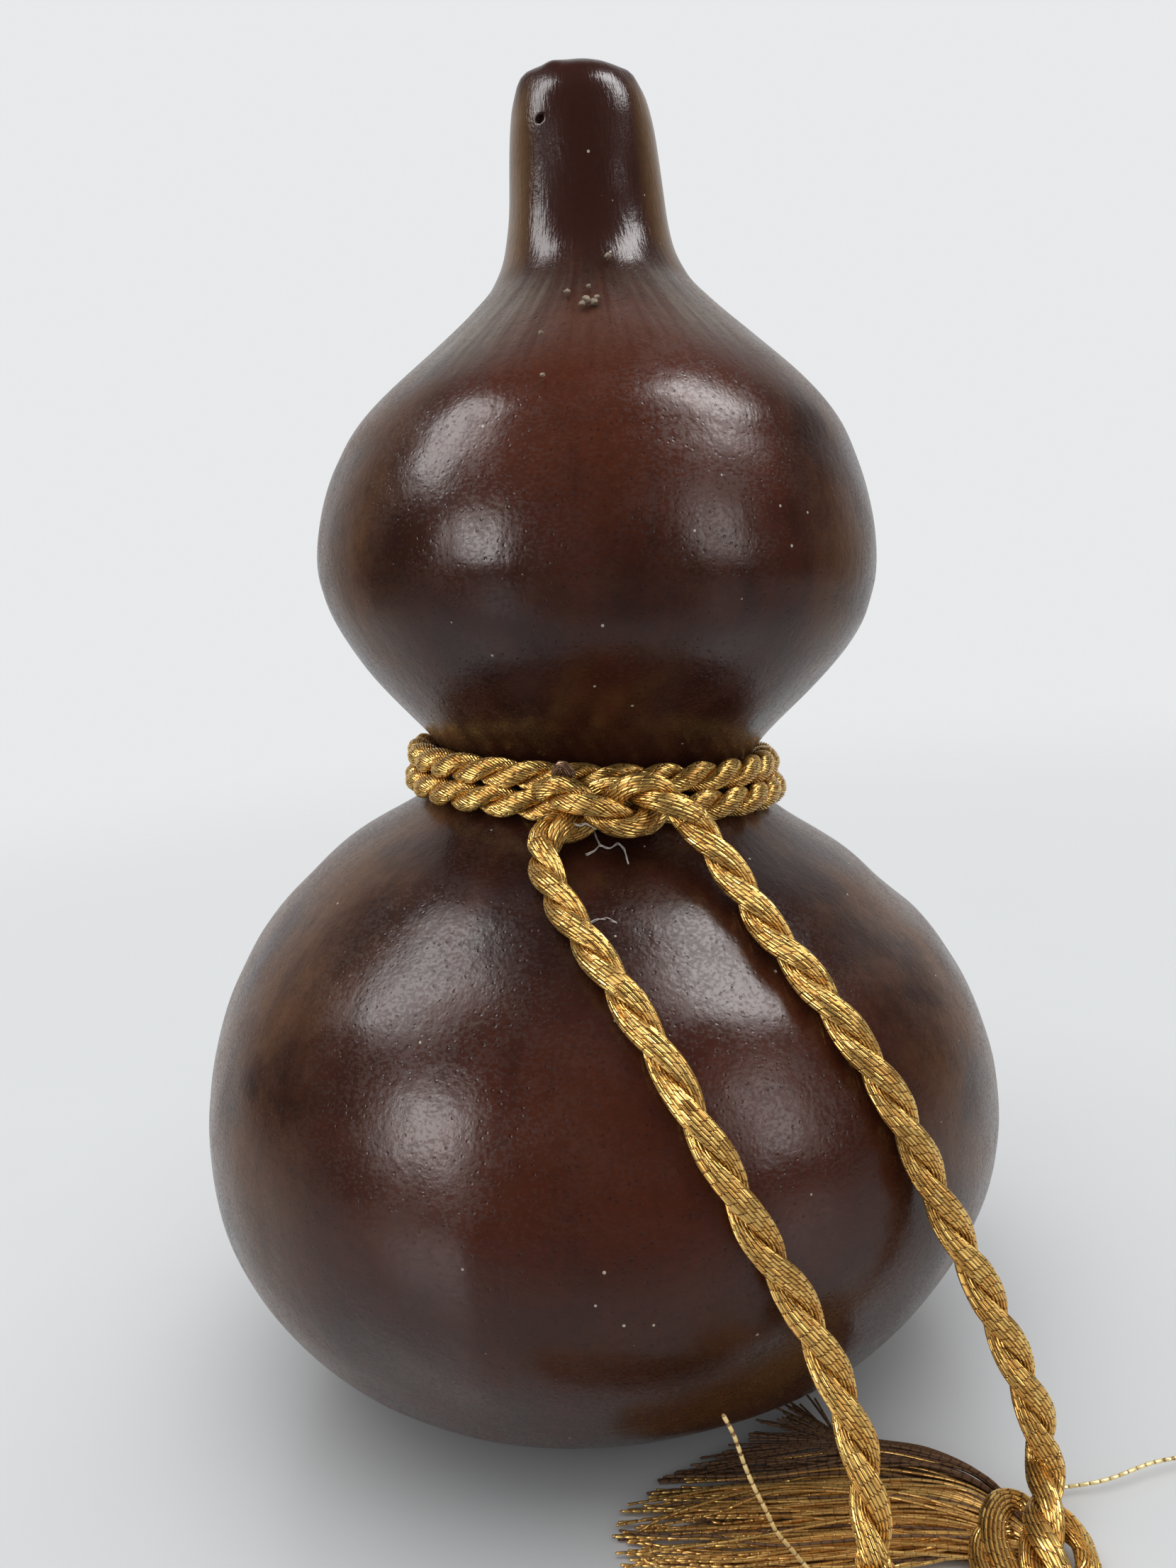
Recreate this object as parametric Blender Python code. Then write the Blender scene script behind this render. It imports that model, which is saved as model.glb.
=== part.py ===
"""Dried bottle gourd with a gold twisted cord tied round its waist.

Units are metres and +Z is up. The origin is on the resting surface, under the middle
of the lower bulb. The cord is tied at the front, which faces -Y.
"""
import math
import random

import bmesh
import bpy
from mathutils import Vector

MM = 0.001

# Gourd, in millimetres
FOOT_INNER_RADIUS = 22.0
DIMPLE_DEPTH = 3.0
DIMPLE_RADII = (8.0, 15.0)
GOURD_SIDES = 40
SAMPLES_PER_STATION = 2
# Height and radius of the wall, from the outer edge of the flat foot to the stem's end
WALL = [
    (0.0, 27.0), (1.6, 33.0), (5.9, 41.3), (13.1, 49.4), (22.8, 55.2), (33.1, 57.5),
    (44.5, 56.7), (55.9, 52.4), (65.6, 44.9), (78.7, 27.0), (82.4, 22.7), (85.7, 21.7),
    (89.2, 23.8), (102.0, 36.0), (110.0, 38.9), (118.0, 38.7), (126.5, 36.1),
    (134.5, 31.2), (147.1, 17.2), (152.2, 12.9), (158.5, 10.9), (171.0, 9.7),
    (175.4, 8.3), (178.0, 5.3), (178.8, 0.0),
]
# The stem leans to +X: height and sideways shift of the centreline
LEAN = [
    (0.0, 0.0), (20.0, 0.0), (40.0, 0.4), (62.7, 1.7), (83.2, 3.9), (108.3, 6.2),
    (131.1, 8.4), (153.9, 9.5), (178.8, 9.9),
]

# Cord, in millimetres: two plies laid together, seen as a section with two lobes
CORD_RADIUS = 2.05
WAIST_CORD_RADIUS = 1.9
LOBE_RELIEF = 0.34
HALF_TURN = 5.1
STEPS_PER_HALF_TURN = 3
SECTION_POINTS = 8
# Height and radius of the two turns round the waist
TURNS = [(87.8, 25.7), (83.8, 24.7)]

# Strands of the knot, in millimetres, each listed along its own run
KNOT_STRANDS = [
    [(-3.4, -26.0, 88.6), (-2.4, -27.8, 89.6), (-0.8, -29.4, 88.6), (1.0, -30.2, 86.4),
     (3.4, -30.6, 83.8), (6.4, -30.2, 81.8), (9.6, -28.4, 81.4), (12.4, -25.4, 82.2)],
    [(-1.0, -25.4, 86.0), (1.8, -27.6, 87.2), (4.8, -29.8, 87.6), (8.0, -31.0, 87.0),
     (11.2, -31.1, 85.0), (12.9, -31.0, 83.2), (14.0, -31.4, 81.5)],
    [(4.0, -26.0, 83.4), (0.8, -27.8, 84.0), (-2.4, -28.8, 83.0), (-3.9, -29.7, 81.2),
     (-4.1, -30.9, 80.0)],
]

# Free tails, in millimetres, from the knot down to the tassels
TAILS = {
    "left": [
        (-4.1, -31.5, 79.6), (-4.1, -33.6, 78.1), (-3.0, -37.6, 75.3), (-0.7, -41.8, 71.8),
        (2.2, -46.1, 67.8), (5.0, -49.9, 63.3), (7.7, -53.1, 58.4), (9.9, -55.5, 53.4),
        (12.4, -57.0, 48.2), (14.8, -57.9, 42.2), (18.0, -57.6, 35.2), (20.7, -58.7, 28.4),
        (22.7, -60.2, 22.0), (23.7, -61.9, 16.6), (23.8, -63.4, 12.2), (23.5, -64.9, 8.9),
    ],
    "right": [
        (14.2, -31.5, 81.2), (16.0, -32.6, 78.5), (18.8, -35.2, 73.8), (21.5, -38.5, 68.9),
        (25.0, -42.3, 63.8), (28.4, -45.2, 58.4), (31.5, -46.9, 52.8), (34.2, -47.8, 46.6),
        (36.5, -48.1, 39.8), (39.1, -48.8, 33.1), (41.5, -50.0, 26.7), (43.6, -51.2, 20.4),
        (45.4, -52.4, 14.3), (46.1, -53.1, 9.3),
    ],
}
TAIL_STEP = 8.2
DENSE_SAMPLES = 16

# Tassels: place on the surface in millimetres, heading in degrees, spread of the fringe,
# and how many strands lie beside each other
TASSELS = {
    "left": ((22.4, -69.8), 200.0, 0.7, 9),
    "right": ((43.4, -57.5), 180.0, 1.0, 13),
}
# Strands of a tassel's knot: along the fringe, across it, height
BUNDLE_RADIUS = 1.5
TASSEL_CORD_END = [(-2.75, -4.35, 8.5), (-2.65, -4.0, 7.2), (-1.4, -1.2, 5.9), (0.2, 2.4, 5.4),
                   (1.0, 5.6, 4.4), (1.2, 8.0, 3.0)]
TASSEL_LOOPS = [
    [(0.0, -3.4, 2.6), (3.0, -3.6, 4.2), (5.7, -0.6, 4.3), (6.6, 3.6, 3.4),
     (4.8, 7.4, 2.6), (1.2, 8.6, 2.4)],
    [(-1.4, -1.6, 3.0), (-4.4, -1.2, 4.1), (-5.6, 2.4, 3.7), (-4.2, 6.4, 3.0), (-0.8, 8.4, 2.5)],
]
TASSEL_CORE_PLACE = (0.8, 2.2, 3.1)
TASSEL_CORE_SIZE = (4.6, 5.6, 2.8)

# Fringe: along, across and height of its back edge, middle and front edge
FRINGE_EDGES = [
    [(0.4, -1.2, 2.2), (2.6, -7.0, 1.8), (7.0, -12.6, 1.6), (14.0, -15.8, 1.4), (24.0, -16.8, 1.1),
     (40.0, -17.6, 0.8)],
    [(1.4, 0.6, 2.2), (6.0, -4.0, 2.0), (12.0, -6.9, 1.8), (21.5, -8.2, 1.6), (33.0, -9.6, 1.2),
     (46.0, -11.0, 0.8)],
    [(2.4, 2.2, 2.2), (8.4, 0.8, 1.8), (14.4, 0.4, 1.6), (22.0, 0.1, 1.3), (33.0, -0.8, 1.1),
     (45.6, -3.0, 0.8)],
]
FRINGE_LAYERS = 3
LAYER_RISE = 0.75
LOWEST_LAYER = -0.45
TIP_CALM = 0.75
SHORTEST_THREAD = 0.82
THREAD_RADIUS = 0.3
THREAD_SIDES = 3
THREAD_STEP = 7.7
# The slim core inside the fringe: share of its length and width, underside and thickness
FRINGE_CORE_LENGTH = 0.62
FRINGE_CORE_SIDES = (-0.85, 0.0, 0.85)
FRINGE_CORE_CROWN = (0.3, 1.0, 0.3)
FRINGE_CORE_UNDERSIDE = 0.5
FRINGE_CORE_THICKNESS = (1.6, 0.8)
RANDOM_SEED = 7

GOLD = (0.72, 0.42, 0.10)
GOLD_ROUGHNESS = 0.35
GOLD_METALLIC = 0.8
LACQUER = (0.055, 0.022, 0.014)
LACQUER_ROUGHNESS = 0.3


def clear_scene():
    for item in list(bpy.data.objects):
        bpy.data.objects.remove(item, do_unlink=True)


def make_material(name, colour, roughness, metallic):
    material = bpy.data.materials.new(name)
    material.use_nodes = True
    shader = material.node_tree.nodes["Principled BSDF"]
    shader.inputs["Base Color"].default_value = (*colour, 1.0)
    shader.inputs["Roughness"].default_value = roughness
    shader.inputs["Metallic"].default_value = metallic
    return material


def add_object(name, mesh, material):
    mesh.materials.clear()
    mesh.materials.append(material)
    mesh.shade_smooth()
    item = bpy.data.objects.new(name, mesh)
    bpy.context.scene.collection.objects.link(item)
    return item


def solid_mesh(name, bm):
    """A closed mesh of triangles whose faces point out."""
    bmesh.ops.recalc_face_normals(bm, faces=bm.faces)
    bmesh.ops.triangulate(bm, faces=bm.faces)
    if bm.calc_volume(signed=True) < 0.0:
        bmesh.ops.reverse_faces(bm, faces=bm.faces)
    mesh = bpy.data.meshes.new(name)
    bm.to_mesh(mesh)
    bm.free()
    return mesh


def spline_point(before, start, end, after, t):
    """A point of the cubic through start and end, with its slopes from their neighbours."""
    return 0.5 * (
        2.0 * start
        + (end - before) * t
        + (2.0 * before - 5.0 * start + 4.0 * end - after) * t ** 2
        + (3.0 * start - before - 3.0 * end + after) * t ** 3
    )


def smooth_line(points, samples):
    """Points of a smooth curve through the given ones, with a number of samples a span."""
    knots = [Vector(point) for point in points]
    padded = [2.0 * knots[0] - knots[1]] + knots + [2.0 * knots[-1] - knots[-2]]
    line = []
    for index in range(len(knots) - 1):
        for sample in range(samples):
            line.append(spline_point(*padded[index:index + 4], sample / samples))
    line.append(knots[-1])
    return line


def even_line(points, step):
    """The smooth curve through the given points, cut into equal steps."""
    dense = smooth_line(points, DENSE_SAMPLES)
    lengths = [0.0]
    for start, end in zip(dense, dense[1:]):
        lengths.append(lengths[-1] + (end - start).length)
    count = max(2, round(lengths[-1] / step))
    line = []
    index = 0
    for number in range(count + 1):
        wanted = lengths[-1] * number / count
        while index < len(dense) - 2 and lengths[index + 1] < wanted:
            index += 1
        part = (wanted - lengths[index]) / (lengths[index + 1] - lengths[index])
        line.append(dense[index].lerp(dense[index + 1], min(part, 1.0)))
    return line


def lean_at(height):
    """Sideways shift of the centreline and its slope at a height."""
    slopes = [0.0]
    for (low, low_x), (high, high_x) in zip(LEAN, LEAN[2:]):
        slopes.append((high_x - low_x) / (high - low))
    slopes.append(0.0)
    span = 0
    while span < len(LEAN) - 2 and height > LEAN[span + 1][0]:
        span += 1
    (low, low_x), (high, high_x) = LEAN[span:span + 2]
    rise = high - low
    t = min(max((height - low) / rise, 0.0), 1.0)
    shift = (
        (2 * t ** 3 - 3 * t ** 2 + 1) * low_x
        + (t ** 3 - 2 * t ** 2 + t) * rise * slopes[span]
        + (3 * t ** 2 - 2 * t ** 3) * high_x
        + (t ** 3 - t ** 2) * rise * slopes[span + 1]
    )
    slope = (
        (6 * t ** 2 - 6 * t) * (low_x - high_x) / rise
        + (3 * t ** 2 - 4 * t + 1) * slopes[span]
        + (3 * t ** 2 - 2 * t) * slopes[span + 1]
    )
    return shift, slope


def on_slice(height, radius, angle):
    """A point of the gourd's own slice, which is square to the leaning centreline."""
    shift, slope = lean_at(height)
    tilt = math.atan(slope)
    across = radius * math.cos(angle)
    return Vector((
        shift + across * math.cos(tilt),
        radius * math.sin(angle),
        height - across * math.sin(tilt),
    ))


def wall_rings():
    """Height and radius of each ring, from the dimple under the foot up to the stem end."""
    rings = []
    for radius in DIMPLE_RADII:
        rings.append((DIMPLE_DEPTH * (1.0 - (radius / FOOT_INNER_RADIUS) ** 2), radius))
    rings.append((0.0, FOOT_INNER_RADIUS))
    for point in smooth_line([(*station, 0.0) for station in WALL], SAMPLES_PER_STATION):
        rings.append((max(point.x, 0.0), point.y))
    return rings[:-1]


def make_gourd(material):
    bm = bmesh.new()
    bottom = bm.verts.new((0.0, 0.0, DIMPLE_DEPTH * MM))
    previous = None
    for height, radius in wall_rings():
        ring = []
        for side in range(GOURD_SIDES):
            angle = 2.0 * math.pi * side / GOURD_SIDES
            ring.append(bm.verts.new(on_slice(height, radius, angle) * MM))
        for side in range(GOURD_SIDES):
            after = (side + 1) % GOURD_SIDES
            if previous is None:
                bm.faces.new((bottom, ring[after], ring[side]))
            else:
                bm.faces.new((previous[side], previous[after], ring[after], ring[side]))
        previous = ring
    top = bm.verts.new(on_slice(WALL[-1][0], 0.0, 0.0) * MM)
    for side in range(GOURD_SIDES):
        bm.faces.new((previous[side], previous[(side + 1) % GOURD_SIDES], top))
    return add_object("gourd", solid_mesh("gourd", bm), material)


def lobed_radius(radius, angle):
    return radius - LOBE_RELIEF + LOBE_RELIEF * math.cos(2.0 * angle)


def sweep(points, outward, section, closed=False):
    """A closed solid along a line; section gives the outline at each step."""
    bm = bmesh.new()
    rings = []
    count = len(points)
    for index, point in enumerate(points):
        before = points[index - 1] if closed or index > 0 else point
        after = points[(index + 1) % count] if closed or index < count - 1 else point
        along = (after - before).normalized()
        side = outward(point)
        side = (side - side.dot(along) * along).normalized()
        other = along.cross(side)
        ring = []
        for across, over in section(index):
            ring.append(bm.verts.new((point + across * side + over * other) * MM))
        rings.append(ring)
    spans = count if closed else count - 1
    for index in range(spans):
        near, far = rings[index], rings[(index + 1) % count]
        for corner in range(len(near)):
            after = (corner + 1) % len(near)
            bm.faces.new((near[corner], near[after], far[after], far[corner]))
    if not closed:
        bm.faces.new(reversed(rings[0]))
        bm.faces.new(rings[-1])
    return solid_mesh("sweep", bm)


def rope_section(radius, turn_per_step):
    """Two lobes that turn as the section goes along the cord."""
    def section(index):
        outline = []
        for corner in range(SECTION_POINTS):
            angle = 2.0 * math.pi * corner / SECTION_POINTS
            reach = lobed_radius(radius, angle)
            turned = angle - index * turn_per_step
            outline.append((reach * math.cos(turned), reach * math.sin(turned)))
        return outline
    return section


def round_section(radius, sides):
    def section(index):
        outline = []
        for corner in range(sides):
            angle = 2.0 * math.pi * corner / sides
            outline.append((radius * math.cos(angle), radius * math.sin(angle)))
        return outline
    return section


def away_from_gourd(point):
    return Vector((point.x - lean_at(point.z)[0], point.y, 0.0))


def upward(point):
    return Vector((0.0, 0.0, 1.0))


def keep_outer_skin(mesh):
    """Fill what fusing seals inside, and drop scraps: only the largest skin stays."""
    bm = bmesh.new()
    bm.from_mesh(mesh)
    waiting = set(bm.faces)
    skins = []
    while waiting:
        skin = set()
        reached = [waiting.pop()]
        while reached:
            face = reached.pop()
            skin.add(face)
            for edge in face.edges:
                for neighbour in edge.link_faces:
                    if neighbour in waiting:
                        waiting.remove(neighbour)
                        reached.append(neighbour)
        skins.append(skin)
    skins.sort(key=len)
    inner = [face for skin in skins[:-1] for face in skin]
    bmesh.ops.delete(bm, geom=inner, context="FACES")
    bmesh.ops.triangulate(bm, faces=bm.faces)
    bm.to_mesh(mesh)
    bm.free()


def fuse(name, meshes, material):
    """One body from several overlapping solids."""
    group = bpy.data.collections.new(name + "_pieces")
    bpy.context.scene.collection.children.link(group)
    base = add_object(name, meshes[0], material)
    for mesh in meshes[1:]:
        group.objects.link(bpy.data.objects.new("piece", mesh))
    union = base.modifiers.new("union", "BOOLEAN")
    union.operation = "UNION"
    union.operand_type = "COLLECTION"
    union.collection = group
    union.solver = "MANIFOLD"
    bpy.context.view_layer.update()
    evaluated = base.evaluated_get(bpy.context.evaluated_depsgraph_get())
    fused = bpy.data.meshes.new_from_object(evaluated)
    base.modifiers.remove(union)
    for piece in list(group.objects):
        bpy.data.objects.remove(piece, do_unlink=True)
    bpy.data.collections.remove(group)
    bpy.data.objects.remove(base, do_unlink=True)
    keep_outer_skin(fused)
    return add_object(name, fused, material)


def waist_turn(height, radius):
    """One closed turn of cord round the waist."""
    half_turns = round(2.0 * math.pi * radius / HALF_TURN)
    count = half_turns * STEPS_PER_HALF_TURN
    points = [on_slice(height, radius, 2.0 * math.pi * step / count) for step in range(count)]
    section = rope_section(WAIST_CORD_RADIUS, math.pi / STEPS_PER_HALF_TURN)
    return sweep(points, away_from_gourd, section, closed=True)


def make_waist_cord(material):
    pieces = [waist_turn(height, radius) for height, radius in TURNS]
    section = rope_section(CORD_RADIUS, math.pi / STEPS_PER_HALF_TURN)
    for strand in KNOT_STRANDS:
        line = even_line(strand, HALF_TURN / STEPS_PER_HALF_TURN)
        pieces.append(sweep(line, away_from_gourd, section))
    return fuse("waist_cord", pieces, material)


def make_tail(name, route, material):
    """A free tail as a plain round tube."""
    curve = bpy.data.curves.new(name, "CURVE")
    curve.dimensions = "3D"
    curve.bevel_depth = CORD_RADIUS * MM
    curve.bevel_resolution = 2
    curve.use_fill_caps = True
    curve.materials.append(material)
    line = even_line(route, TAIL_STEP)
    spline = curve.splines.new("POLY")
    spline.points.add(len(line) - 1)
    for spot, point in zip(spline.points, line):
        spot.co = (*(point * MM), 1.0)
    spline.use_smooth = True
    tail = bpy.data.objects.new(name, curve)
    bpy.context.scene.collection.objects.link(tail)
    return tail


def tassel_place(tassel, point):
    """From a tassel's own measures to the shared frame, both in millimetres."""
    (x, y), heading = tassel[:2]
    turn = math.radians(heading)
    along, across, height = point
    return Vector((
        x + along * math.cos(turn) - across * math.sin(turn),
        y + along * math.sin(turn) + across * math.cos(turn),
        height,
    ))


def tassel_core(tassel):
    bm = bmesh.new()
    bmesh.ops.create_icosphere(bm, subdivisions=2, radius=1.0)
    for vert in bm.verts:
        place = [
            centre + size * reach
            for centre, size, reach in zip(TASSEL_CORE_PLACE, TASSEL_CORE_SIZE, vert.co)
        ]
        vert.co = tassel_place(tassel, place) * MM
    return solid_mesh("core", bm)


def tassel_knot_pieces(tassel):
    pieces = [tassel_core(tassel)]
    end = [tassel_place(tassel, point) for point in TASSEL_CORD_END]
    turn = math.pi / STEPS_PER_HALF_TURN
    line = even_line(end, HALF_TURN / STEPS_PER_HALF_TURN)
    pieces.append(sweep(line, away_from_gourd, rope_section(CORD_RADIUS, turn)))
    for loop in TASSEL_LOOPS:
        line = even_line([tassel_place(tassel, point) for point in loop], BUNDLE_RADIUS)
        pieces.append(sweep(line, upward, round_section(BUNDLE_RADIUS, SECTION_POINTS)))
    return pieces


def fringe_point(tassel, station, side, rise):
    """A point of the fringe: side runs from -1 at its back edge to 1 at its front edge."""
    back, middle, front = (Vector(edge[station]) for edge in FRINGE_EDGES)
    edge = front if side > 0.0 else back
    point = middle.lerp(edge, abs(side))
    spread = tassel[2]
    point.y = middle.y + (point.y - middle.y) * spread
    point.z += rise
    return tassel_place(tassel, point)


def fringe_core(tassel):
    """The slim inside of the fringe, from its neck to where the strands part."""
    stations = len(FRINGE_EDGES[0])
    edges = []
    for side in FRINGE_CORE_SIDES:
        route = [fringe_point(tassel, station, side, 0.0) for station in range(stations)]
        line = smooth_line(route, SAMPLES_PER_STATION)
        edges.append(line[:round(len(line) * FRINGE_CORE_LENGTH)])
    thick, thin = FRINGE_CORE_THICKNESS
    count = len(edges[0])
    bm = bmesh.new()
    rings = []
    for index in range(count):
        depth = thick + (thin - thick) * index / (count - 1)
        below = []
        above = []
        for edge, crown in zip(edges, FRINGE_CORE_CROWN):
            x, y = edge[index].xy
            below.append(Vector((x, y, FRINGE_CORE_UNDERSIDE)))
            above.append(Vector((x, y, FRINGE_CORE_UNDERSIDE + depth * crown)))
        outline = below + above[::-1]
        rings.append([bm.verts.new(point * MM) for point in outline])
    for near, far in zip(rings, rings[1:]):
        for corner in range(len(near)):
            after = (corner + 1) % len(near)
            bm.faces.new((near[corner], near[after], far[after], far[corner]))
    bm.faces.new(rings[0])
    bm.faces.new(reversed(rings[-1]))
    return solid_mesh("fringe_core", bm)


def fringe_pieces(tassel):
    chance = random.Random(RANDOM_SEED)
    columns = tassel[3]
    pieces = [fringe_core(tassel)]
    stations = len(FRINGE_EDGES[0])
    for layer in range(FRINGE_LAYERS):
        for column in range(columns):
            side = 2.0 * (column + (layer + 0.5) / FRINGE_LAYERS) / columns - 1.0
            rise = LOWEST_LAYER + layer * LAYER_RISE
            route = []
            for station in range(stations):
                calm = 1.0 - TIP_CALM * station / (stations - 1)
                route.append(fringe_point(tassel, station, side, rise * calm))
            route[-1] = route[-2].lerp(route[-1], chance.uniform(SHORTEST_THREAD, 1.0))
            line = even_line(route, THREAD_STEP)
            pieces.append(sweep(line, upward, round_section(THREAD_RADIUS, THREAD_SIDES)))
    return pieces


def gold(name):
    return make_material(name, GOLD, GOLD_ROUGHNESS, GOLD_METALLIC)


def main():
    clear_scene()
    make_gourd(make_material("lacquered_gourd", LACQUER, LACQUER_ROUGHNESS, 0.0))
    make_waist_cord(gold("waist_cord_gold"))
    for side, route in TAILS.items():
        make_tail(f"cord_tail_{side}", route, gold(f"tail_{side}_gold"))
    for side, tassel in TASSELS.items():
        pieces = tassel_knot_pieces(tassel) + fringe_pieces(tassel)
        fuse(f"tassel_{side}", pieces, gold(f"tassel_{side}_gold"))


main()
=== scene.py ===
"""Looks of the dried bottle gourd and of the gold cord tied round it.

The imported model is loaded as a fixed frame. Sizes here are in millimetres and become
metres when a mesh is made. +Z is up, and the knot faces -Y.
"""
import math
import random

import bmesh
import bpy
import numpy as np
from mathutils import Matrix, Vector, noise


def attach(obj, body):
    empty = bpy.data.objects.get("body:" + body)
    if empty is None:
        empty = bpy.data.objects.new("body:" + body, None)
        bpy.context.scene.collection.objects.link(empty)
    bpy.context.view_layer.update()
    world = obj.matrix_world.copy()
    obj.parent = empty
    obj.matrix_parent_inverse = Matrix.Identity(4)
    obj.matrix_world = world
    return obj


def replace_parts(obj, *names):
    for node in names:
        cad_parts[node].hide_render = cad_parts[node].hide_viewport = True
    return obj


MM = 0.001

# Camera: place in millimetres and angles in degrees
CAMERA_PLACE = (0.0, -171.46, 109.67)
CAMERA_DOWN = 9.23
CAMERA_ROLL = -5.40
CAMERA_YAW = 0.85
CAMERA_LENS = 27.03
SENSOR_WIDTH = 36.0
CLIP_START = 0.01

# Gourd, as in the CAD model: height and radius of its wall, then its lean
FOOT_INNER_RADIUS = 22.0
DIMPLE_DEPTH = 3.0
WALL = [
    (0.0, 27.0), (1.6, 33.0), (5.9, 41.3), (13.1, 49.4), (22.8, 55.2), (33.1, 57.5),
    (44.5, 56.7), (55.9, 52.4), (65.6, 44.9), (78.7, 27.0), (82.4, 22.7), (85.7, 21.7),
    (89.2, 23.8), (102.0, 36.0), (110.0, 38.9), (118.0, 38.7), (126.5, 36.1),
    (134.5, 31.2), (147.1, 17.2), (152.2, 12.9), (158.5, 10.9), (171.0, 9.7),
    (175.4, 8.3), (178.0, 5.3), (178.8, 0.0),
]
LEAN = [
    (0.0, 0.0), (20.0, 0.0), (40.0, 0.4), (62.7, 1.7), (83.2, 3.9), (108.3, 6.2),
    (131.1, 8.4), (153.9, 9.5), (178.8, 9.9),
]
STEM_END = 176.6

# The skin's mesh, and the cylinder on which its pattern is laid
DIMPLE_RINGS = 18
DIMPLE_MIDDLE = 0.6
WALL_SAMPLES = 24
WALL_REST = 0.3
GOURD_SIDES = 256
GOURD_STEP = 0.85
FINE_STEP = 0.16
LEAST_STEP = 0.05
SKIN_RADIUS = 30.0

# Relief of the skin: it fades towards the foot and the centreline. Swells have rise and size
CALM_FOOT = 8.0
CALM_MIDDLE = 8.0
SWELLS = [(0.35, 22.0), (0.1, 7.0)]
RIBS = {"count": 2.4, "length": 60.0, "height": 45.0, "spread": 24.0, "rise": 0.3, "least": 0.06}
STREAK_RIB = {"angle": -1.87, "width": 0.05, "height": 33.0, "spread": 13.0, "rise": 0.22}
# Where it is fuller or flatter than the CAD wall: height, reach, rise, and its side, which is
# 1 for +X, -1 for -X and 0 for all round
FULLER = [
    (84.5, 3.6, 1.0, 0), (STEM_END, 1.5, 0.12, 0), (73.5, 4.4, 1.5, 0), (72.0, 5.0, 0.9, 1),
    (103.0, 5.0, -0.4, 0), (103.5, 5.5, -0.7, -1),
]
# Lumps and a dent on the stem's end: place, radius, height. They rise from a spot below it
LUMPS = [
    ((6.6, -5.6, 177.6), 1.4, 0.4), ((14.0, -1.0, 178.2), 2.8, -0.9),
    ((16.6, -4.0, 176.0), 1.6, 0.3), ((3.6, -3.0, 176.4), 2.6, 0.8),
]
LUMP_CORE_DEPTH = 6.0
PIN_HOLE = (4.36, -8.03, 170.16)
PIN_HOLE_RADIUS = 0.55
PIN_HOLE_DEPTH = 1.1
PIN_HOLE_REACH = 1.0

# Cord: height and radius of its turns and the tilt they share, strands of the knot, free tails
TURNS = [(86.3, 24.9), (82.7, 25.6)]
TURN_CENTRE = 3.75
TURN_SLOPE = 0.12
KNOT_OVER = [
    (-3.4, -26.4, 85.7), (-1.5, -28.4, 85.7), (0.6, -29.9, 84.9), (2.9, -30.6, 83.5),
    (5.2, -30.8, 82.0), (7.4, -30.2, 81.2), (9.2, -28.4, 81.5), (10.3, -26.0, 82.4),
]
KNOT_LEADS = {
    "left": [(2.7, -26.0, 82.6), (0.9, -27.6, 81.8), (-1.0, -29.0, 81.4), (-2.9, -30.4, 81.3)],
    "right": [
        (3.1, -26.2, 84.4), (5.6, -28.4, 85.1), (8.0, -30.2, 85.5), (10.4, -31.2, 84.9),
        (12.5, -31.4, 83.1),
    ],
}
KNOT_SEED = 5
KNOT_TUFT = [(-1.7, -25.6, 85.9), (-1.4, -26.0, 87.8), (-0.7, -26.4, 88.5), (0.1, -26.4, 87.2)]
TUFT_RADIUS = 0.85
TUFT_STEP = 0.3
TUFT_SEED = 41
TAILS = {
    "left": [
        (-4.1, -31.5, 79.6), (-4.1, -33.6, 78.1), (-3.0, -37.6, 75.3), (-0.7, -41.8, 71.8),
        (2.2, -46.1, 67.8), (5.0, -49.9, 63.3), (7.7, -53.1, 58.4), (9.9, -55.5, 53.4),
        (12.4, -57.0, 48.2), (14.8, -57.9, 42.2), (18.0, -57.6, 35.2), (20.7, -58.7, 28.4),
        (22.7, -60.2, 22.0), (23.7, -61.9, 16.6), (23.8, -63.4, 12.2), (23.5, -64.9, 8.9),
    ],
    "right": [
        (14.2, -31.5, 81.2), (16.0, -32.6, 78.5), (18.8, -35.2, 73.8), (21.5, -38.5, 68.9),
        (25.0, -42.3, 63.8), (28.4, -45.2, 58.4), (31.5, -46.9, 52.8), (34.2, -47.8, 46.6),
        (36.5, -48.1, 39.8), (39.1, -48.8, 33.1), (41.5, -50.0, 26.7), (43.6, -51.2, 20.4),
        (45.4, -52.4, 14.3), (46.1, -53.1, 9.3),
    ],
}
CORD_SEEDS = {"left": 11, "right": 12}
CORD_SAMPLES = 16
# Points of a tail, counted from either end, that shape the cord's run beyond it
JOIN_POINTS = np.array([0, 6, 12])

# How each stretch of cord is laid: length of half a turn of the two plies, how much longer it
# is halfway, half turns before its start, turn of each ply's own threads against the plies'
# turn, size against the CAD cord, threads in a ply, step along it
WAIST_LAY = {"half_turn": 5.6, "slack": 0.0, "start": 0.0, "thread_turn": -2.5, "size": 0.95,
             "threads": 16, "step": 0.36}
KNOT_LAY = {"half_turn": 6.2, "slack": 0.0, "start": 0.0, "thread_turn": -1.7, "size": 0.98,
            "threads": 18, "step": 0.42}
TAIL_LAYS = {
    "left": {"half_turn": 4.6, "slack": 4.4, "start": 0.74, "thread_turn": -0.9, "size": 1.0,
             "threads": 18, "step": 0.42},
    "right": {"half_turn": 6.03, "slack": 2.26, "start": 0.31, "thread_turn": -0.9, "size": 1.0,
              "threads": 18, "step": 0.42},
}
PLY_PLACE = 0.93
PLY_OUTWARD = 1.2
PLY_SIDEWAYS = 1.36
# Height of the points across one thread, and how far threads wander over how long a wave
RIDGE_PROFILE = (-0.16, -0.01, 0.05, -0.01)
THREAD_WANDER = 0.03
WANDER_WAVES = (5.0, 11.0)
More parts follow.
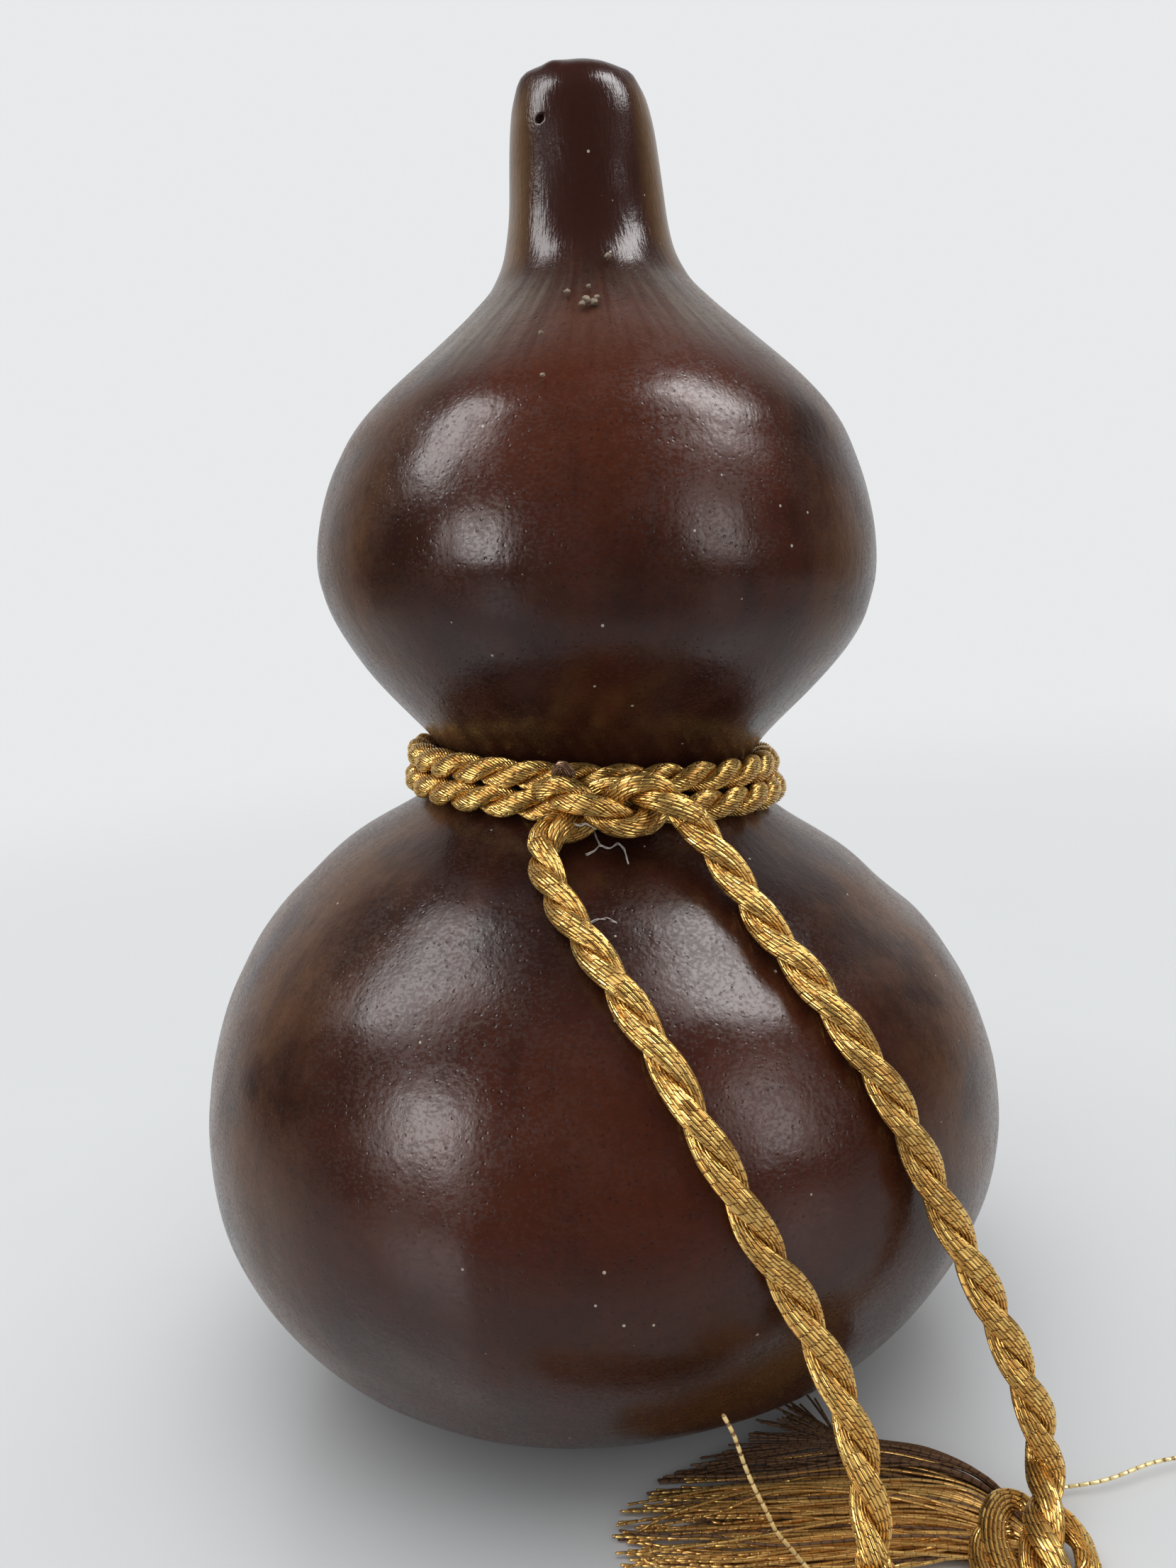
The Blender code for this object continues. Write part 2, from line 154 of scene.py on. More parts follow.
# Steps in the threads' numbers from cord to cord and from ply to ply
CORD_NUMBERS = 100.0
PLY_NUMBERS = 40.0
FOIL_LENGTH = 1.25

# Tassels: where the knot lies and which way its fringe runs, in degrees, how wide the fringe
# is, its threads, and dark ones that stray from its back edge
TASSELS = {
    "left": {"place": (22.4, -69.8), "heading": 200.0, "spread": 0.7, "threads": 100, "fanned": 0},
    "right": {"place": (43.4, -57.5), "heading": 180.0, "spread": 1.0, "threads": 150, "fanned": 40},
}
# Strands of a tassel's knot: along the fringe, across it, height
TASSEL_CORD_END = [(-2.75, -4.35, 8.5), (-2.65, -4, 7.2), (-1.4, -1.2, 5.9), (0.2, 2.4, 5.4),
                   (1, 5.6, 4.4), (1.2, 8, 3)]
TASSEL_LOOPS = [
    [(-0.6, -2.2, 2), (0.4, -4, 2.8), (2.6, -3.8, 3.4), (4.7, -0.8, 3.6), (5.4, 3.2, 3.2),
     (4.4, 7.2, 2.6), (1.2, 8.6, 2.4)],
    [(-1, -1.4, 2.8), (-3, -1, 3.4), (-4, 2, 3.2), (-3.2, 5.8, 2.8), (-0.8, 8.2, 2.4)],
    [(3, -1, 2.4), (6.4, 0.2, 2.6), (7.6, 4, 2.4), (6, 8, 2), (2.4, 9.6, 1.9)],
    [(-0.6, 1, 3.8), (2, 2.6, 4.2), (3.2, 5.4, 3.6), (3, 8.6, 2.4)],
    [(-1, -0.4, 3.6), (-3, 1.8, 3.8), (-3.8, 5, 3.2), (-2.6, 8.2, 2.3)],
]
BUNDLE_RADIUS = 1.5
THIN_BUNDLE_RADIUS = 1.125
THICK_LOOPS = 3
BUNDLE_THREADS = 17
BUNDLE_TURN = 0.12
BUNDLE_STEP = 0.42
LOOP_SEED = 31
# The fringe's back edge, middle and front edge, in the same measures
FRINGE_EDGES = [
    [(0.4, -1.2, 2.4), (2.6, -9.4, 2.4), (7.4, -13.8, 2), (14, -16.8, 1.6), (25, -17.4, 1.2),
     (38, -18.4, 0.8)],
    [(1.4, 0.6, 2.2), (6, -4, 2), (12, -6.9, 1.8), (21.5, -8.2, 1.6), (33, -9.6, 1.2),
     (46, -11, 0.8)],
    [(2.4, 2.2, 2.2), (8.4, 0.8, 1.8), (14.4, 0.4, 1.6), (22, 0.1, 1.3), (33, -0.8, 1.1),
     (45.6, -3, 0.8)],
]
FRINGE_SEED = 7
FRINGE_SAMPLES = 10
FRINGE_STEP = 0.9
# Rise of a thread, share of it left at its tip, least height, and stray to the side
FRINGE_RISE = (-1.4, 0.9)
FRINGE_CALM = 0.3
FRINGE_LEAST_HEIGHT = 0.35
FRINGE_STRAY = 0.3
FRINGE_STRAY_GROWTH = 0.1
# Share of the last span that a thread keeps
FRINGE_LAST_SPAN = (-0.1, 1.1)
# Share of dark threads up to each place between the back edge, -1, and the front edge, 1
DARK_SHARES = [(-0.62, 0.95), (-0.35, 0.5), (2.0, 0.1)]
# Dark threads that stray: the route that they share, and where the tips run from and to
FANNED_ROOT = [
    (1.0, -3.0, 2.6), (2.8, -9.4, 2.6), (7.4, -13.8, 2.2), (13.0, -16.5, 1.9), (17.2, -18.4, 1.8),
]
FANNED_TIPS = [(20.0, -26.4, 2.4), (36.0, -17.6, 0.8)]
FANNED_LENGTHS = (-2.5, 1.0)
FANNED_STRAY = 0.7

# A single thread, the beads of foil at its tip with their necks, and the share of the gold
# pattern's thread that it shows
THREAD_RADIUS = 0.165
THREAD_SIDES = 5
BEAD_STRETCH = 7.0
BEAD_NECK = 0.68
BEAD_PLACES = (0.0, 0.13, 0.87)
THREAD_SHOWN = (0.2, 0.6)

# Threads laid one by one: the right tassel's that cross its fringe, and two loose ones
LAID_SAMPLES = 14
LAID_STEP = 0.7
LAID_NUMBERS = 200
CROSSING_THREADS = [
    [(40, -57, 3.4), (32, -51.6, 3.6), (24.5, -48.9, 3.2), (16.7, -46.9, 2.7), (9.9, -46.9, 2.1),
     (2, -48.6, 1.5), (-0.3, -49.6, 1.2)],
    [(40.6, -58, 3.2), (32, -54.6, 3.4), (23.6, -53.5, 3.2), (11.3, -53.7, 2.4), (4.1, -53.2, 1.7),
     (0.2, -53.1, 1.4), (-0.4, -53.7, 1.3), (1, -54.6, 1.2), (3.8, -55.4, 1)],
    [(39, -57, 3.6), (28, -51.2, 3.8), (16.4, -48, 3), (8.7, -49.1, 2), (4.6, -49.1, 1.6)],
    [(40, -59.5, 2.8), (30, -56, 3), (23.9, -53.6, 2.8), (17.2, -51.6, 2.8), (8.7, -49.9, 2.4)],
    [(40, -60, 2.8), (30, -57.4, 2.8), (23.4, -55.8, 2.4), (11.9, -54.6, 1.5), (1.5, -53.9, 0.9),
     (-2.6, -53.9, 0.5)],
    [(40, -60.5, 2.4), (28, -57.8, 2.4), (19.1, -55.8, 2.2), (9.4, -55.3, 1.2), (5, -55.2, 0.7)],
]
DULL_CROSSING_THREADS = [
    [(39, -58, 3), (28, -56.2, 3), (15.1, -55.1, 2.4), (7.5, -52, 1.8), (3.4, -51.2, 1.4),
     (-2.8, -48.9, 0.9)],
    [(36, -56, 2.6), (24, -53.2, 2.2), (14.9, -51.5, 1.2), (11, -50, 0.8), (7.4, -48.5, 0.5)],
]
LOOSE_RADIUS = 0.24
LOOSE_STRETCH = 60.0
LOOSE_THREADS = [
    [(21.6, -67.4, 4), (19.4, -63.6, 3.6), (17.1, -61.5, 5.2), (15.2, -61.5, 8.2), (14, -61.5, 10.1),
     (13.1, -61.5, 12.7), (12.1, -61.5, 15.4), (11.2, -61.5, 18.4), (10.4, -61.5, 21.8), (9.4, -61.5, 24.4)],
    [(43.6, -54, 3.4), (47, -50.6, 1.8), (49.7, -49.6, 1), (54.8, -49.5, 1.3), (60.6, -48.1, 1.6),
     (64.2, -47.4, 1.4), (67.4, -46.7, 0.9)],
]

# Fluff that clings to the knot: strands a route, how far they stray, and their thickness
FLUFF_STRANDS = 3
FLUFF_STRAY = 0.09
FLUFF_SAMPLES = 10
FLUFF_STEP = 0.25
FLUFF_RADIUS = 0.055
FLUFF_THICKNESS = (0.6, 1.3)
FLUFF = [
    [(2.4, -26.1, 80.2), (2.6, -27.4, 79.4), (2.8, -28.5, 78.6), (2.1, -29.2, 78.2), (1.1, -29.8, 77.9)],
    [(2.8, -28.5, 78.6), (3.6, -28.8, 78.3), (4.2, -28.9, 78.2), (4.6, -28.3, 78.5), (5.2, -28.1, 78.5),
     (5.8, -28.7, 78.1), (6.0, -30.1, 77.1), (6.1, -30.8, 76.5)],
    [(0.4, -39.6, 71.9), (1.0, -38.7, 71.8), (1.8, -38.5, 72.0), (2.7, -38.4, 71.9), (3.8, -38.7, 71.4)],
    [(-4.4, -29.6, 81.9), (-3.7, -30.9, 81.5), (-2.9, -31.2, 80.9), (-2.4, -30.6, 80.2), (-1.9, -30.9, 79.6)],
    [(-0.6, -30.2, 82.2), (0.5, -30.8, 81.8), (1.5, -30.6, 81.9), (2.4, -30.9, 81.3), (3.1, -30.2, 81.0)],
]
# Crumbs on the upper bulb, most of them at the foot of the stem: place and radius
CRUMBS = [
    ((7.6, -21.4, 144.5), 0.55), ((8.4, -21.2, 144.2), 0.5), ((7.0, -21.8, 144.0), 0.4),
    ((8.9, -20.8, 144.8), 0.35), ((5.4, -18.9, 146.2), 0.4), ((8.1, -18.6, 146.7), 0.3),
    ((11.1, -14.1, 151.2), 0.4), ((1.6, -25.9, 140.2), 0.3), ((1.3, -31.9, 134.4), 0.3),
]
# Their dents: fineness, depth, distance between two crumbs' patterns; then their flattening
CRUMB_DENTS = 1.3
CRUMB_DENT_DEPTH = 0.45
CRUMB_APART = 9.0
CRUMB_FLATNESS = 0.8

# Gold threads: colours of the foil and of the painted shade in the grooves between threads,
# which also marks the gaps in the foil, the share of that shade, tilt of the pieces of foil, metal,
# and whether gaps widen towards the tips
GOLD_THREAD = {
    "light": (0.97, 0.66, 0.21, 1.0), "deep": (0.72, 0.385, 0.095, 1.0),
    "groove_shade_and_gap": (0.11, 0.033, 0.006, 1.0), "depth": 0.85, "tilt": 0.62, "metal": 0.85, "tips": False,
}
FRINGE_THREAD = {
    "light": (1.0, 0.67, 0.22, 1.0), "deep": (0.68, 0.35, 0.1, 1.0),
    "groove_shade_and_gap": (0.17, 0.07, 0.02, 1.0), "depth": 0.6, "tilt": 0.26, "metal": 0.7, "tips": True,
}
WORN_THREAD = {
    "light": (0.42, 0.24, 0.13, 1.0), "deep": (0.2, 0.1, 0.05, 1.0),
    "groove_shade_and_gap": (0.04, 0.016, 0.009, 1.0), "depth": 0.85, "tilt": 0.6, "metal": 0.5, "tips": False,
}
LOOSE_THREAD = {
    "light": (1.0, 0.82, 0.4, 1.0), "deep": (1.0, 0.72, 0.3, 1.0),
    "groove_shade_and_gap": (0.2, 0.08, 0.02, 1.0), "depth": 0.85, "tilt": 0.6, "metal": 0.35, "tips": True,
}
# Slant of the foil's edges, shift from thread to thread, gaps between its pieces
FOIL_SLANT = 0.4
FOIL_SHIFT = 17.0
FOIL_GAP = 0.04
TIP_GAP = 0.16
TIP_LENGTH = 4.0
# Dark threads
FIBRE_DARK = (0.05, 0.021, 0.01, 1.0)
FIBRE_LIGHT = (0.19, 0.088, 0.04, 1.0)
FIBRE_GOLD = (0.30, 0.17, 0.08, 1.0)
FIBRE_GAP = (0.015, 0.007, 0.005, 1.0)
# Dry fibre and crumbs
FLUFF_COLOURS = (0.5, 0.44, 0.38, 1.0), (0.88, 0.84, 0.78, 1.0)
CRUMB_COLOURS = (0.16, 0.11, 0.07, 1.0), (0.42, 0.32, 0.22, 1.0)
GRAIN_SCALE = 2600.0

# The skin's colours, and the heights at which its zones start, are full, fade and end
SKIN = {
    "dark": (0.027, 0.0075, 0.0046, 1.0), "brown": (0.056, 0.0155, 0.0075, 1.0),
    # The ochre and the stem's side colour are partly painted side light, laid on both sides
    "red": (0.105, 0.021, 0.006, 1.0), "ochre_and_side_light": (0.16, 0.073, 0.028, 1.0),
    "stem": (0.042, 0.012, 0.008, 1.0), "stem_side_light": (0.17, 0.09, 0.036, 1.0),
    "pale_streak": (0.2, 0.165, 0.13, 1.0), "grain": (0.012, 0.006, 0.005, 1.0),
    "pore": (0.008, 0.004, 0.004, 1.0), "dust": (0.5, 0.43, 0.36, 1.0),
    # The hole colour is painted shade: it blackens the pin hole's shallow dent
    "hole": (0.002, 0.002, 0.002, 1.0),
}
UPPER_WARMTH = (104.0, 128.0, 142.0, 149.0)
LOWER_WARMTH = (30.0, 44.0, 56.0, 72.0)
PALE_STREAK_BAND = (134.0, 143.0, 146.0, 153.0)
STEM_START = (148.0, 156.0)
STEM_TOP = (172.5, 177.0)
# Cells of the pores and of the dust's specks, per millimetre
PORE_CELLS = 1.3
DUST_CELLS = 0.4
SKIN_SPECULAR = 0.32
STEM_ROUGHNESS = 0.19
DULLNESS = 0.11

# Table, in metres: half its width, where it fades into the backdrop, and where it darkens
# towards the viewer, for what it mirrors on the gourd
TABLE_REACH = 1.5
TABLE_FADE = (0.15, 0.75)
TABLE_SHADE = (-0.2, -0.07)
TABLE_COLOURS = (0.64, 0.65, 0.655, 1.0), (0.68, 0.69, 0.695, 1.0)
TABLE_SHADE_COLOUR = (0.1, 0.1, 0.1, 1.0)
TABLE_COAT = 0.35
TABLE_COAT_ROUGHNESS = 0.2

# Lights: place and size in metres, power in watts. Only gloss shows the panels, and it doesn't
# show the fill
LIGHT_TARGET = (0.0, 0.0, 0.09)
PANELS = {
    "box_left": ((-0.514, -0.12, 0.73), (0.27, 0.48), 4.0),
    "box_right": ((0.52, -0.15, 0.79), (0.28, 0.46), 5.5),
    "low_left": ((-0.52, -0.5, 0.27), (0.22, 0.3), 2.5),
    "low_right": ((0.52, -0.5, 0.27), (0.22, 0.3), 1.1),
}
FILL = ((0.0, -0.05, 1.3), (1.5, 1.5), 11.5)
# Backdrop: its strength as light, as seen by the camera, and in gloss from front to back
BACKDROP_COLOUR = (0.97, 0.985, 1.0, 1.0)
BACKDROP_LIGHT = 0.74
BACKDROP_SEEN = 0.83
BACKDROP_GLOSS = (0.06, 0.7)
BACKDROP_SPREAD = (0.2, 0.78)


def spline(points, samples):
    """A smooth curve through the given points, with a number of samples a span."""
    knots = np.array(points, float)
    padded = np.vstack([2 * knots[0] - knots[1], knots, 2 * knots[-1] - knots[-2]])
    t = np.arange(samples)[:, None] / samples
    pieces = []
    for index in range(len(knots) - 1):
        before, start, end, after = padded[index:index + 4]
        pieces.append(0.5 * (
            2 * start
            + (end - before) * t
            + (2 * before - 5 * start + 4 * end - after) * t ** 2
            + (3 * start - before - 3 * end + after) * t ** 3
        ))
    return np.vstack(pieces + [knots[-1:]])


def lengths_along(line):
    steps = np.linalg.norm(np.diff(line, axis=0), axis=1)
    return np.concatenate([[0.0], np.cumsum(steps)])


def even(line, step):
    """The line cut into equal steps."""
    lengths = lengths_along(line)
    count = max(2, round(lengths[-1] / step))
    wanted = np.linspace(0.0, lengths[-1], count + 1)
    return np.stack([np.interp(wanted, lengths, column) for column in line.T], axis=1)


def lean_at(height):
    """Sideways shift of the gourd's centreline and its slope at a height."""
    slopes = [0.0]
    for (low, low_x), (high, high_x) in zip(LEAN, LEAN[2:]):
        slopes.append((high_x - low_x) / (high - low))
    slopes.append(0.0)
    span = 0
    while span < len(LEAN) - 2 and height > LEAN[span + 1][0]:
        span += 1
    (low, low_x), (high, high_x) = LEAN[span:span + 2]
    rise = high - low
    t = min(max((height - low) / rise, 0.0), 1.0)
    start = rise * slopes[span]
    end = rise * slopes[span + 1]
    cubic = start + end - 2 * (high_x - low_x)
    square = 3 * (high_x - low_x) - 2 * start - end
    shift = ((cubic * t + square) * t + start) * t + low_x
    slope = ((3 * cubic * t + 2 * square) * t + start) / rise
    return shift, slope


def on_slice(height, radius, angle):
    """Points of the gourd's own slice, which is square to the leaning centreline."""
    shift, slope = lean_at(height)
    tilt = math.atan(slope)
    across = radius * np.cos(angle)
    return np.stack([
        shift + across * math.cos(tilt),
        radius * np.sin(angle),
        height - across * math.sin(tilt),
    ], axis=-1)


def away_from_gourd(point):
    return np.array([point[0] - lean_at(point[2])[0], point[1], 0.0])


def unit(vectors):
    return vectors / np.linalg.norm(vectors, axis=-1, keepdims=True)


def directions(line, closed):
    """Along, out and across at each point. Open lines turn as little as they can."""
    if closed:
        along = unit(np.roll(line, -1, axis=0) - np.roll(line, 1, axis=0))
        out = np.array([away_from_gourd(point) for point in line])
    else:
        along = unit(np.gradient(line, axis=0))
        out = np.zeros_like(line)
        out[0] = away_from_gourd(line[0])
        for index in range(len(line)):
            carried = out[max(index - 1, 0)]
            level = carried - carried.dot(along[index]) * along[index]
            out[index] = level / np.linalg.norm(level)
    out = unit(out - (out * along).sum(axis=1)[:, None] * along)
    return along, out, np.cross(along, out)


class Surface:
    """Grids of points that become one mesh, with a thread number and a length as its map."""

    def __init__(self):
        self.points = []
        self.faces = []
        self.map = []
        self.count = 0

    def add(self, rings, thread, length, closed=False):
        """rings is steps x corners x 3; thread has one value more than there are corners."""
        steps, corners = rings.shape[:2]
        row = np.arange(steps if closed else steps - 1)[:, None]
        column = np.arange(corners)[None, :]
        after_row = (row + 1) % steps
        after_column = (column + 1) % corners
        quads = np.stack([
            row * corners + column,
            row * corners + after_column,
            after_row * corners + after_column,
            after_row * corners + column,
        ], axis=-1).reshape(-1, 4)
        low = np.broadcast_to(thread[:-1][None, :], (len(row), corners))
        high = np.broadcast_to(thread[1:][None, :], (len(row), corners))
        start = np.broadcast_to(length[row], (len(row), corners))
        end = np.broadcast_to(length[row + 1], (len(row), corners))
        corner_map = np.stack([
            np.stack([low, start], -1), np.stack([high, start], -1),
            np.stack([high, end], -1), np.stack([low, end], -1),
        ], axis=2).reshape(-1, 2)
        self.points.append(rings.reshape(-1, 3))
        self.faces += (quads + self.count).tolist()
        self.map.append(corner_map)
        if not closed:
            first = self.count + np.arange(corners)
            last = first + (steps - 1) * corners
            self.faces.append(first[::-1].tolist())
            self.faces.append(last.tolist())
            self.map.append(np.tile([thread[0], length[0]], (corners, 1)))
            self.map.append(np.tile([thread[0], length[-1]], (corners, 1)))
        self.count += steps * corners

    def make(self, name, material, slot):
        mesh = bpy.data.meshes.new(name)
        mesh.from_pydata((np.vstack(self.points) * MM).tolist(), [], self.faces)
        layer = mesh.uv_layers.new(name="strand")
        layer.data.foreach_set("uv", np.vstack(self.map).astype(np.float32).ravel())
        mesh.shade_smooth()
        return add_piece(name, mesh, material)


def add_piece(name, mesh, material):
    mesh.materials.append(material)
    piece = bpy.data.objects.new(name, mesh)
    bpy.context.scene.collection.objects.link(piece)
    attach(piece, "root")
    return piece


def add_ply(surface, centre, radial, sideways, turn, lay, first_thread, closed, chance):
    """One ply: parallel threads that show as ridges round a rounded body."""
    threads = lay["threads"]
    per_thread = len(RIDGE_PROFILE)
    corners = threads * per_thread
    angle = 2 * np.pi * np.arange(corners)[None, :] / corners + turn[:, None]
    lengths = lengths_along(np.vstack([centre, centre[:1]])) if closed else lengths_along(centre)
    phase = np.array([chance.uniform(0.0, 2 * math.pi) for _ in range(threads)])
    waves = np.array([chance.uniform(*WANDER_WAVES) for _ in range(threads)])
    if closed:
        waves = lengths[-1] / np.round(lengths[-1] / waves)
    wander = np.sin(2 * np.pi * lengths[:len(centre), None] / waves + phase) * THREAD_WANDER
    height = np.tile(RIDGE_PROFILE, threads)[None, :] + np.repeat(wander, per_thread, axis=1)
    size = lay["size"]
    facing = np.cos(angle)
    outward = np.where(facing > 0.0, PLY_OUTWARD, PLY_PLACE) * size + height
    beside = PLY_SIDEWAYS * size + height
    rings = (
        centre[:, None, :]
        + (facing * outward)[:, :, None] * radial[:, None, :]
        + (np.sin(angle) * beside)[:, :, None] * sideways[:, None, :]
    )
    thread = first_thread + np.arange(corners + 1) / per_thread
    surface.add(rings, thread, lengths, closed)


def cord_turns(lengths, total, lay, closed):
    """How far the plies have turned at each length, and how far each ply's threads have."""
    if closed:
        rounds = round(total / lay["half_turn"] / 2)
        share = 2 * np.pi * lengths / total
        return -rounds * share, -round(rounds * lay["thread_turn"]) * share
    half_turn = lay["half_turn"] + lay["slack"] * np.sin(np.pi * lengths / total)
    steps = np.diff(lengths) * 2 / (half_turn[:-1] + half_turn[1:])
    halves = np.concatenate([[0.0], np.cumsum(steps)])
    return -np.pi * (halves + lay["start"]), -np.pi * halves * lay["thread_turn"]


def add_cord(surface, line, lay, seed, closed=False, first=0, last=None):
    """Two plies laid round each other along a line, or along the part from first to last."""
    along, out, across = directions(line, closed)
    lengths = lengths_along(line)
    total = lengths[-1] + (np.linalg.norm(line[0] - line[-1]) if closed else 0.0)
    plies, threads = cord_turns(lengths, total, lay, closed)
    place = PLY_PLACE * lay["size"]
    rate = np.gradient(plies, lengths)[:, None]
    part = slice(first, last)
    chance = random.Random(seed)
    for ply in range(2):
        turn = (plies + math.pi * ply)[:, None]
        radial = np.cos(turn) * out + np.sin(turn) * across
        around = np.cos(turn) * across - np.sin(turn) * out
        ply_along = unit(along + rate * place * around)
        sideways = np.cross(ply_along, radial)
        centre = line + place * radial
        number = CORD_NUMBERS * seed + PLY_NUMBERS * ply
        add_ply(
            surface, centre[part], radial[part], sideways[part], threads[part], lay, number,
            closed, chance,
        )


def add_bundle(surface, line, radius, seed):
    """A single ply that runs alone, as in the tassel's knot."""
    along, out, across = directions(line, False)
    lay = {"threads": BUNDLE_THREADS, "size": radius / PLY_SIDEWAYS}
    chance = random.Random(seed)
    turn = BUNDLE_TURN * lengths_along(line)
    add_ply(surface, line, out, across, turn, lay, CORD_NUMBERS * seed, False, chance)


def add_thread(surface, line, radius, number, stretch=BEAD_STRETCH):
    """A single thread. Its map runs up one side and down the other, so no groove shade is painted along it.

    Lengths count from its tip. There its foil is in beads with narrow necks between them.
    """
    from_tip = lengths_along(line)[-1] - lengths_along(line)
    beads = np.arange(0.0, min(stretch, from_tip[0] - 2 * FOIL_LENGTH), FOIL_LENGTH)
    beaded = np.concatenate([beads + share * FOIL_LENGTH for share in BEAD_PLACES])
    spots = np.concatenate([from_tip[from_tip > beads[-1] + FOIL_LENGTH], np.sort(beaded)[::-1]])
    thick = np.full(len(spots), radius)
    thick[np.isin(spots, beads)] *= BEAD_NECK
    line = np.stack([np.interp(-spots, -from_tip, column) for column in line.T], axis=1)
    along, out, across = directions(line, False)
    angle = 2 * np.pi * np.arange(THREAD_SIDES)[None, :, None] / THREAD_SIDES
    ring = np.cos(angle) * out[:, None, :] + np.sin(angle) * across[:, None, :]
    rings = line[:, None, :] + thick[:, None, None] * ring
    share = np.arange(THREAD_SIDES + 1) / THREAD_SIDES
    start, width = THREAD_SHOWN
    thread = number + start + width * (1.0 - np.abs(2 * share - 1.0))
    surface.add(rings, thread, spots)


def make_camera():
    turn = Matrix.Rotation(-math.radians(CAMERA_YAW), 4, "Z")
    turn @= Matrix.Rotation(math.radians(90.0 - CAMERA_DOWN), 4, "X")
    turn @= Matrix.Rotation(math.radians(CAMERA_ROLL), 4, "Z")
    data = bpy.data.cameras.new("camera")
    data.lens = CAMERA_LENS
    data.sensor_width = SENSOR_WIDTH
    data.clip_start = CLIP_START
    camera = bpy.data.objects.new("camera", data)
    camera.matrix_world = Matrix.Translation(Vector(CAMERA_PLACE) * MM) @ turn
    bpy.context.scene.collection.objects.link(camera)
    bpy.context.scene.camera = camera


class Shader:
    """Adds and joins the nodes of one material, or of the backdrop."""

    def __init__(self, owner, main="Principled BSDF"):
        owner.use_nodes = True
        self.owner = owner
        self.tree = owner.node_tree
        self.main = self.tree.nodes[main]

    def put(self, socket, value):
        if isinstance(value, bpy.types.NodeSocket):
            self.tree.links.new(value, socket)
        else:
            socket.default_value = value

    def node(self, kind, inputs=(), **settings):
        item = self.tree.nodes.new("ShaderNode" + kind)
        for name, value in settings.items():
            setattr(item, name, value)
        for name, value in dict(inputs).items():
            self.put(item.inputs[name], value)
        return item

    def math(self, operation, *values):
        return self.node("Math", dict(enumerate(values)), operation=operation).outputs[0]

    def mix(self, factor, first, second):
        inputs = {0: factor, 6: first, 7: second}
        return self.node("Mix", inputs, data_type="RGBA").outputs[2]

    def blend(self, factor, first, second):
        """Like mix, for single values."""
        return self.node("Mix", {0: factor, 2: first, 3: second}).outputs[0]

    def times(self, first, second):
        return self.math("MULTIPLY", first, second)

    def plus(self, base, value, share):
        """The base and a share of the value."""
        return self.math("MULTIPLY_ADD", value, share, base)

    def off_middle(self, share):
        return self.math("SUBTRACT", share, 0.5)

    def from_edge(self, share):
        """How far a share lies from the nearer of 0 and 1."""
        return self.math("MINIMUM", share, self.math("SUBTRACT", 1.0, share))

    def ramp(self, value, low, high, first=0.0, last=1.0):
        """Runs smoothly from first to last as value goes from low to high."""
        inputs = dict(enumerate((value, low, high, first, last)))
        return self.node("MapRange", inputs, interpolation_type="SMOOTHSTEP").outputs[0]

    def band(self, value, start, full, fade, end):
        """Is 1 from full to fade, and 0 before its start and after its end."""
        rise = self.ramp(value, start, full)
        return self.times(rise, self.ramp(value, fade, end, 1.0, 0.0))

    def stretch(self, vector, scale):
        inputs = {0: vector, 1: scale}
        return self.node("VectorMath", inputs, operation="MULTIPLY").outputs[0]

    def noise(self, vector, scale, detail=3.0, roughness=0.55):
        inputs = {"Vector": vector, "Scale": scale, "Detail": detail, "Roughness": roughness}
        return self.node("TexNoise", inputs).outputs["Fac"]

    def cells(self, vector, scale):
        return self.node("TexVoronoi", {"Vector": vector, "Scale": scale})

    def split(self, vector):
        return self.node("SeparateXYZ", {"Vector": vector}).outputs

    def attribute(self, name):
        return self.node("Attribute", attribute_name=name).outputs["Vector"]

    def strand(self):
        """Place across the threads, length along them, number of the thread and its own chance."""
        thread, length, _ = self.split(self.node("UVMap", uv_map="strand").outputs[0])
        number = self.math("FLOOR", thread)
        own = self.node("TexWhiteNoise", {"W": number}, noise_dimensions="1D").outputs["Value"]
        return thread, length, number, own

    def bump(self, height, strength=1.0, distance=MM):
        inputs = {"Height": height, "Strength": strength, "Distance": distance}
        return self.node("Bump", inputs).outputs["Normal"]

    def cover(self, tone, roughness, normal=None):
        self.put(self.main.inputs["Base Color"], tone)
        self.put(self.main.inputs["Roughness"], roughness)
        if normal is not None:
            self.put(self.main.inputs["Normal"], normal)
        return self.owner


